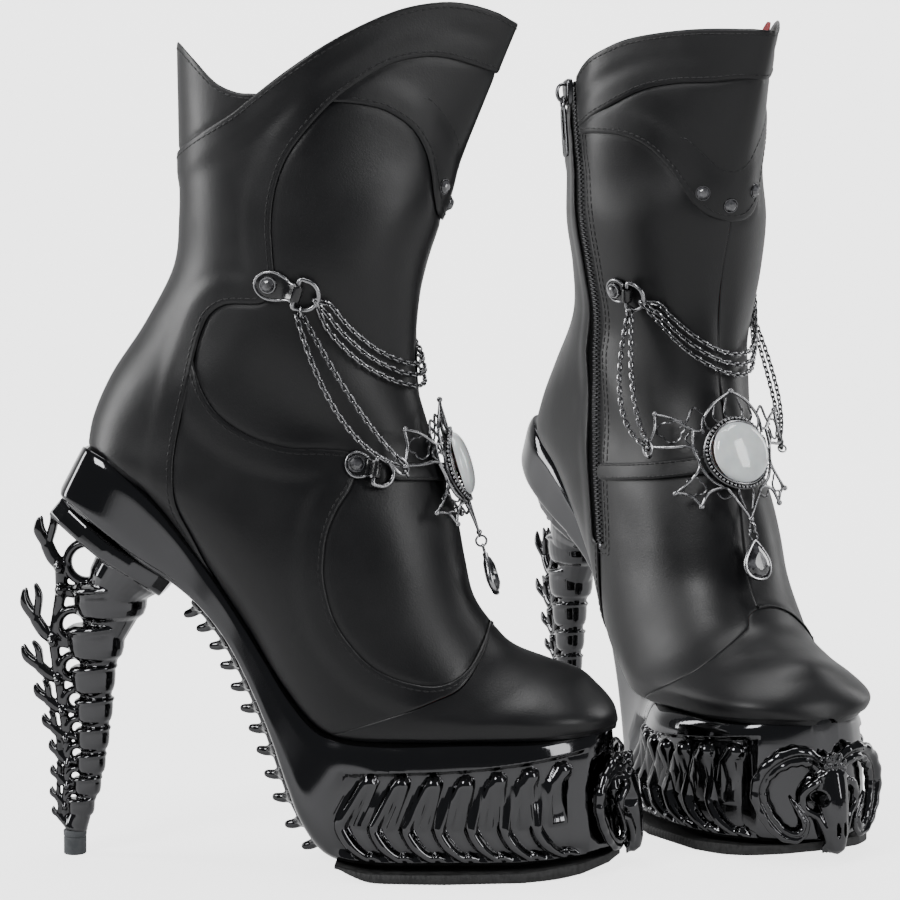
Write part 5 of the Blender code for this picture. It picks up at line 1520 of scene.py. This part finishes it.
def zip_slider():
    """The zip's slider with its bridge, and the slotted pull that hangs from it."""
    origin, up, across, face = zip_frame()

    def spot(a, b, w):
        """A point across, up and out from the slider's centre."""
        return origin + across * a + up * b + face * w

    half = smooth_line([(1.6, 6.0), (3.9, 5.3), (4.3, 2.5), (3.7, -1.5), (2.7, -4.6), (1.4, -5.8)], 5)
    outline = [*half] + [(-a, b) for a, b in half[::-1]]
    levels = ((-0.5, 0.9), (-0.2, 1.0), (1.2, 1.0), (1.8, 0.93), (2.1, 0.8))
    plate = loft([[spot(a * k, b * k, w) for a, b in outline] for w, k in levels])
    arch = [(3.6, 1.4), (3.8, 3.3), (2.6, 5.0), (0, 5.7), (-2.6, 5.0), (-3.8, 3.3), (-3.6, 1.4)]
    bow = [spot(0, u, w) for u, w in smooth_line(arch, 5)]
    bridge = sweep(bow, across, circle(1.0, 12) * (0.75, 1.5))
    piece("zip_slider", merge([plate, bridge]), "nickel", ("zip_slider",), "zip_slider")
    eye = tube([spot(a, b - 4.2, 3.4) for a, b in circle(2.4, 24)], 0.6, face, 10, loop=True)
    leaf = smooth_line([(1.3, -6.6), (2.5, -8.4), (2.9, -14.0), (2.9, -25.0), (2.2, -27.2)], 6)
    loop = [*leaf] + [(-a, b) for a, b in leaf[::-1]]
    strip = boxy(circle(1, 12), 0.5)
    rim = sweep([spot(a * 0.78, b, 3.4) for a, b in loop], face, strip * (0.95, 0.6), loop=True)
    foot = sweep([spot(0, b, 3.4) for b in (-20.8, -22.0, -26.0, -27.2)], face,
                 [strip * (w, 0.58) for w in (2.0, 2.3, 2.3, 1.8)])
    piece("zip_pull", merge([eye, rim, foot]), "nickel", ("zip_pull",), "zip_pull")


# ---------------------------------------------------------------- materials


class Finish:
    """A Principled material with helpers for the nodes that vary it."""

    def __init__(self, name, colour, roughness, metallic=0.0, **inputs):
        self.material = bpy.data.materials.new(name)
        self.material.use_nodes = True
        self.tree = self.material.node_tree
        self.shader = self.tree.nodes["Principled BSDF"]
        self.place = self.tree.nodes.new("ShaderNodeTexCoord").outputs["Object"]
        self.set(base_color=(*colour, 1), roughness=roughness, metallic=metallic, **inputs)
        self.height = None

    def set(self, **inputs):
        """Sets the shader's inputs, by their names in small letters."""
        for key, value in inputs.items():
            self.shader.inputs[key.replace("_", " ").title().replace("Ior", "IOR")].default_value = value

    def node(self, kind, inputs, **settings):
        """Adds a node, with sockets linked to its inputs and values set on them."""
        made = self.tree.nodes.new(f"ShaderNode{kind}")
        for key, value in settings.items():
            setattr(made, key, value)
        for key, value in inputs.items():
            if isinstance(value, bpy.types.NodeSocket):
                self.tree.links.new(value, made.inputs[key])
            else:
                made.inputs[key].default_value = value
        return made

    def noise(self, scale, detail=3.0, stretch=None):
        """Soft noise from 0 to 1."""
        where = self.place
        if stretch:
            where = self.node("Mapping", {"Vector": self.place, "Scale": stretch}).outputs[0]
        return self.node("TexNoise", {"Vector": where, "Scale": scale, "Detail": detail}).outputs["Fac"]

    def cells(self, scale, feature="F1"):
        """The distance to the nearest of many scattered spots."""
        inputs = {"Vector": self.place, "Scale": scale, "Randomness": 0.9}
        return self.node("TexVoronoi", inputs, feature=feature).outputs["Distance"]

    def ranged(self, value, low, high, from_low=0.3, from_high=0.7):
        """A value carried from one range to another."""
        return self.node("MapRange", {"Value": value, "From Min": from_low, "From Max": from_high,
                                      "To Min": low, "To Max": high}).outputs[0]

    def mixed(self, value, first, second):
        """The first colour where value is 0 and the second where it is 1."""
        made = self.node("Mix", {"Factor": value}, data_type="RGBA")
        made.inputs["A"].default_value = (*first, 1)
        made.inputs["B"].default_value = (*second, 1)
        return made.outputs["Result"]

    def into(self, name, value):
        """Feeds a socket into one of the shader's inputs."""
        self.tree.links.new(value, self.shader.inputs[name])
        return self

    def bump(self, height, depth, strength=1.0):
        """Adds one layer of relief, depth in millimetres."""
        inputs = {"Height": height, "Distance": depth * MM, "Strength": strength}
        if self.height:
            inputs["Normal"] = self.height
        self.height = self.node("Bump", inputs).outputs[0]
        return self.into("Normal", self.height)

    def hollows(self, radius):
        """How open a place is, from 0 in the hollows to 1."""
        return self.node("AmbientOcclusion", {"Distance": radius * MM}, samples=4).outputs["AO"]


def black_leather():
    """Soft matte leather cloth: fine pebbled grain, soft sheen and faint rubbed patches."""
    made = Finish("soft_black_leather", (0.012, 0.012, 0.0135), 0.45, specular_ior_level=0.42)
    patches = made.noise(38, 4)
    grain = made.cells(1500, "SMOOTH_F1")
    made.into("Base Color", made.mixed(patches, (0.003, 0.003, 0.0036), (0.0065, 0.0065, 0.0074)))
    made.into("Roughness", made.ranged(patches, 0.35, 0.46))
    made.bump(grain, 0.05, 0.55).bump(made.noise(900, 4), 0.035, 0.5)
    return made.bump(made.noise(140, 3), 0.12, 0.5).material


def thread():
    """Waxed black thread."""
    made = Finish("waxed_black_thread", (0.01, 0.01, 0.011), 0.45, specular_ior_level=0.4)
    ply = made.noise(2600, 2, (1, 1, 0.3))
    made.into("Base Color", made.mixed(ply, (0.004, 0.004, 0.0045), (0.010, 0.010, 0.011)))
    return made.bump(ply, 0.05).material


def red_lining():
    """Red woven lining."""
    made = Finish("red_woven_lining", (0.3, 0.012, 0.018), 0.8)
    weave = made.noise(2200, 2, (1.0, 1.0, 0.4))
    made.into("Base Color", made.mixed(weave, (0.16, 0.008, 0.011), (0.30, 0.016, 0.022)))
    return made.bump(weave, 0.08).material


def black_chrome():
    """Moulded plastic with a dark mirror coat, and painted shade: its base colour is darker in the hollows.
    """
    made = Finish("black_chrome_shell", (0.05, 0.05, 0.053), 0.1, 1.0, coat_weight=0.7, coat_roughness=0.03)
    haze = made.noise(60, 4)
    made.into("Roughness", made.ranged(haze, 0.05, 0.12))
    # Painted shade: the base colour goes darker where ambient occlusion finds hollows.
    made.into("Base Color", made.mixed(made.hollows(2.5), (0.012, 0.012, 0.013), (0.06, 0.06, 0.063)))
    return made.bump(made.noise(45, 2), 0.06, 0.35).material


def rubber(name, colour, pale):
    """Moulded rubber with dust in its grain."""
    made = Finish(name, colour, 0.65)
    dust = made.noise(420, 5)
    made.into("Base Color", made.mixed(made.ranged(dust, 0, 1, 0.35, 0.8), colour, pale))
    made.into("Roughness", made.ranged(dust, 0.55, 0.8))
    return made.bump(dust, 0.08, 0.6).material


def silver(name, bright, dark, depth):
    """Old silver plate: worn bright on its high places and dark in its hollows."""
    made = Finish(name, bright, 0.22, 1.0)
    open_places = made.ranged(made.hollows(depth), 0, 1, 0.35, 0.95)
    made.into("Base Color", made.mixed(open_places, dark, bright))
    made.into("Roughness", made.ranged(made.noise(500, 4), 0.14, 0.34))
    return made.bump(made.noise(1400, 3), 0.02, 0.5).material


def white_stone():
    """A milky glass stone with faint clouds."""
    made = Finish("milky_cabochon", (0.82, 0.81, 0.79), 0.12, coat_weight=1.0, coat_roughness=0.03,
                  subsurface_weight=0.15)
    clouds = made.noise(170, 5)
    made.into("Base Color", made.mixed(clouds, (0.62, 0.62, 0.62), (0.93, 0.92, 0.90)))
    return made.bump(clouds, 0.02, 0.3).material


def smoke_crystal():
    """Dark faceted glass."""
    made = Finish("smoke_crystal", (0.05, 0.05, 0.055), 0.03, coat_weight=1.0, coat_roughness=0.01)
    veins = made.noise(240, 4)
    pale = made.ranged(veins, 0, 1, 0.4, 0.75)
    made.into("Base Color", made.mixed(pale, (0.012, 0.012, 0.014), (0.16, 0.16, 0.17)))
    return made.into("Roughness", made.ranged(veins, 0.02, 0.08)).material


def zip_tape():
    """Woven black tape."""
    made = Finish("woven_zip_tape", (0.014, 0.014, 0.015), 0.75, sheen_weight=0.2)
    weave = made.noise(2400, 1, (1, 1, 2.5))
    made.into("Base Color", made.mixed(weave, (0.008, 0.008, 0.009), (0.03, 0.03, 0.032)))
    return made.bump(weave, 0.1).material


def black_nickel():
    """Dark plated metal, with painted shade: its base colour is darker in the hollows."""
    made = Finish("black_nickel", (0.2, 0.2, 0.21), 0.2, 1.0)
    # Painted shade: the base colour goes darker where ambient occlusion finds hollows.
    made.into("Base Color", made.mixed(made.hollows(1.2), (0.012, 0.012, 0.013), (0.11, 0.11, 0.115)))
    return made.into("Roughness", made.ranged(made.noise(700, 4), 0.14, 0.3)).material


def black_enamel():
    """The tabs' glossy black leather."""
    made = Finish("patent_black", (0.008, 0.008, 0.009), 0.2, coat_weight=0.4, coat_roughness=0.1)
    grain = made.cells(1300, "SMOOTH_F1")
    made.into("Roughness", made.ranged(made.noise(300, 3), 0.16, 0.32))
    return made.bump(grain, 0.04, 0.5).material


FINISHES = {
    "leather": black_leather(),
    "thread": thread(),
    "lining": red_lining(),
    "shell": black_chrome(),
    "rubber": rubber("black_tread_rubber", (0.013, 0.013, 0.013), (0.05, 0.05, 0.05)),
    "tip": rubber("grey_heel_rubber", (0.05, 0.055, 0.06), (0.10, 0.105, 0.11)),
    "silver": silver("antique_silver", (0.34, 0.34, 0.35), (0.012, 0.012, 0.013), 1.8),
    # A darker copy of the silver: painted shade for the parts set behind the medallion's front arches.
    "shaded_silver": silver("silver_in_painted_shade", (0.15, 0.15, 0.155), (0.008, 0.008, 0.009), 2.4),
    "stone": white_stone(),
    "crystal": smoke_crystal(),
    "tape": zip_tape(),
    "nickel": black_nickel(),
    "enamel": black_enamel(),
}


# ---------------------------------------------------------------- studio


def area_light(name, place, target, size, power):
    """A soft rectangular light aimed at a spot."""
    data = bpy.data.lights.new(name, "AREA")
    data.shape = "RECTANGLE"
    data.size, data.size_y = size
    data.energy = power
    made = bpy.data.objects.new(name, data)
    made.location = place
    made.rotation_euler = (Vector(target) - Vector(place)).to_track_quat("-Z", "Y").to_euler()
    bpy.context.scene.collection.objects.link(made)
    return made


def studio():
    """A pale floor that curves up behind the boots, soft lights and an even sky.

    The floor glows a little, so the camera sees it near white, and less so in what the boots mirror.
    """
    white = Finish("pale_paper", (0.5, 0.5, 0.5), 0.85, emission_color=(1, 1, 1, 1))
    white.into("Base Color", white.mixed(white.noise(3, 2), (0.49, 0.49, 0.49), (0.51, 0.51, 0.51)))
    seen = white.node("LightPath", {}).outputs["Is Camera Ray"]
    white.into("Emission Strength", white.ranged(seen, 0.25, 2.6, 0.0, 1.0))
    curve = [(2.2 + 1.2 * math.sin(a), 1.2 - 1.2 * math.cos(a)) for a in np.linspace(0.1, math.pi / 2, 14)]
    profile = [(-6.0, 0), (2.2, 0), *curve, (3.4, 5.0)]
    points = [(x, y, z) for y, z in profile for x in (-7.0, 7.0)]
    faces = grid_faces(len(profile), 2, loop_columns=False)
    floor = bpy.data.objects.new("floor", to_mesh((points, faces), "floor"))
    floor.data.materials.append(white.material)
    floor.data.shade_smooth()
    bpy.context.scene.collection.objects.link(floor)
    target = (0, 0, 0.16)
    lights = [
        area_light("key", (-1.1, -1.3, 1.5), target, (0.55, 0.9), 26),
        area_light("fill", (1.6, -1.1, 0.8), target, (0.45, 1.2), 13),
        area_light("top", (0.1, 0.2, 1.9), target, (1.3, 0.9), 24),
        area_light("edge_left", (-1.6, 0.2, 0.7), target, (0.45, 1.2), 20),
        area_light("edge_right", (1.5, 0.8, 0.7), target, (0.4, 1.2), 7),
        area_light("backdrop", (0, 1.4, 2.2), (0, 3.4, 0.9), (3.0, 1.0), 90),
    ]
    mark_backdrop(floor, *lights)
    world = bpy.data.worlds.new("studio")
    world.use_nodes = True
    sky = world.node_tree.nodes["Background"].inputs
    sky["Color"].default_value = (0.9, 0.93, 1.0, 1)
    sky["Strength"].default_value = 0.13
    bpy.context.scene.world = world


def camera():
    """A level camera square to the right boot's outer side, with its centre above and left of the boots."""
    low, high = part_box("right_heel_tip")
    heel = (low + high) / 2
    data = bpy.data.cameras.new("camera")
    data.sensor_width = 36
    data.lens = 99.8
    data.shift_x, data.shift_y = 0.0394, -0.2292
    made = bpy.data.objects.new("camera", data)
    made.location = (heel.x + 0.136, heel.y - 1.0, 0.2441)
    made.rotation_euler = (math.pi / 2, 0, 0)
    bpy.context.scene.collection.objects.link(made)
    bpy.context.scene.camera = made


# ---------------------------------------------------------------- everything


def main():
    """Makes every piece, then the studio and the camera."""
    leather_upper()
    stitching()
    lining()
    zip_chain()
    studs()
    platform()
    outsole()
    skull()
    arch_spine()
    heel()
    rings()
    tab("tab_upper_lateral", LATERAL, 1, 15, 5.2)
    tab("tab_upper_medial", MEDIAL, -1, 13, 4.8)
    tab("tab_lower", LOWER, 1, 11, 4.8)
    swag()
    drops()
    strap()
    medallion()
    pendant()
    zip_slider()
    for side in ("right", "left"):
        insole = frame["nodes"][f"{side}_insole"]
        insole.data.materials.clear()
        insole.data.materials.append(FINISHES["leather"])
    studio()
    camera()


main()
box_lists = [[list(corner) for corner in corners] for corners in (CAD_BOUNDS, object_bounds())]
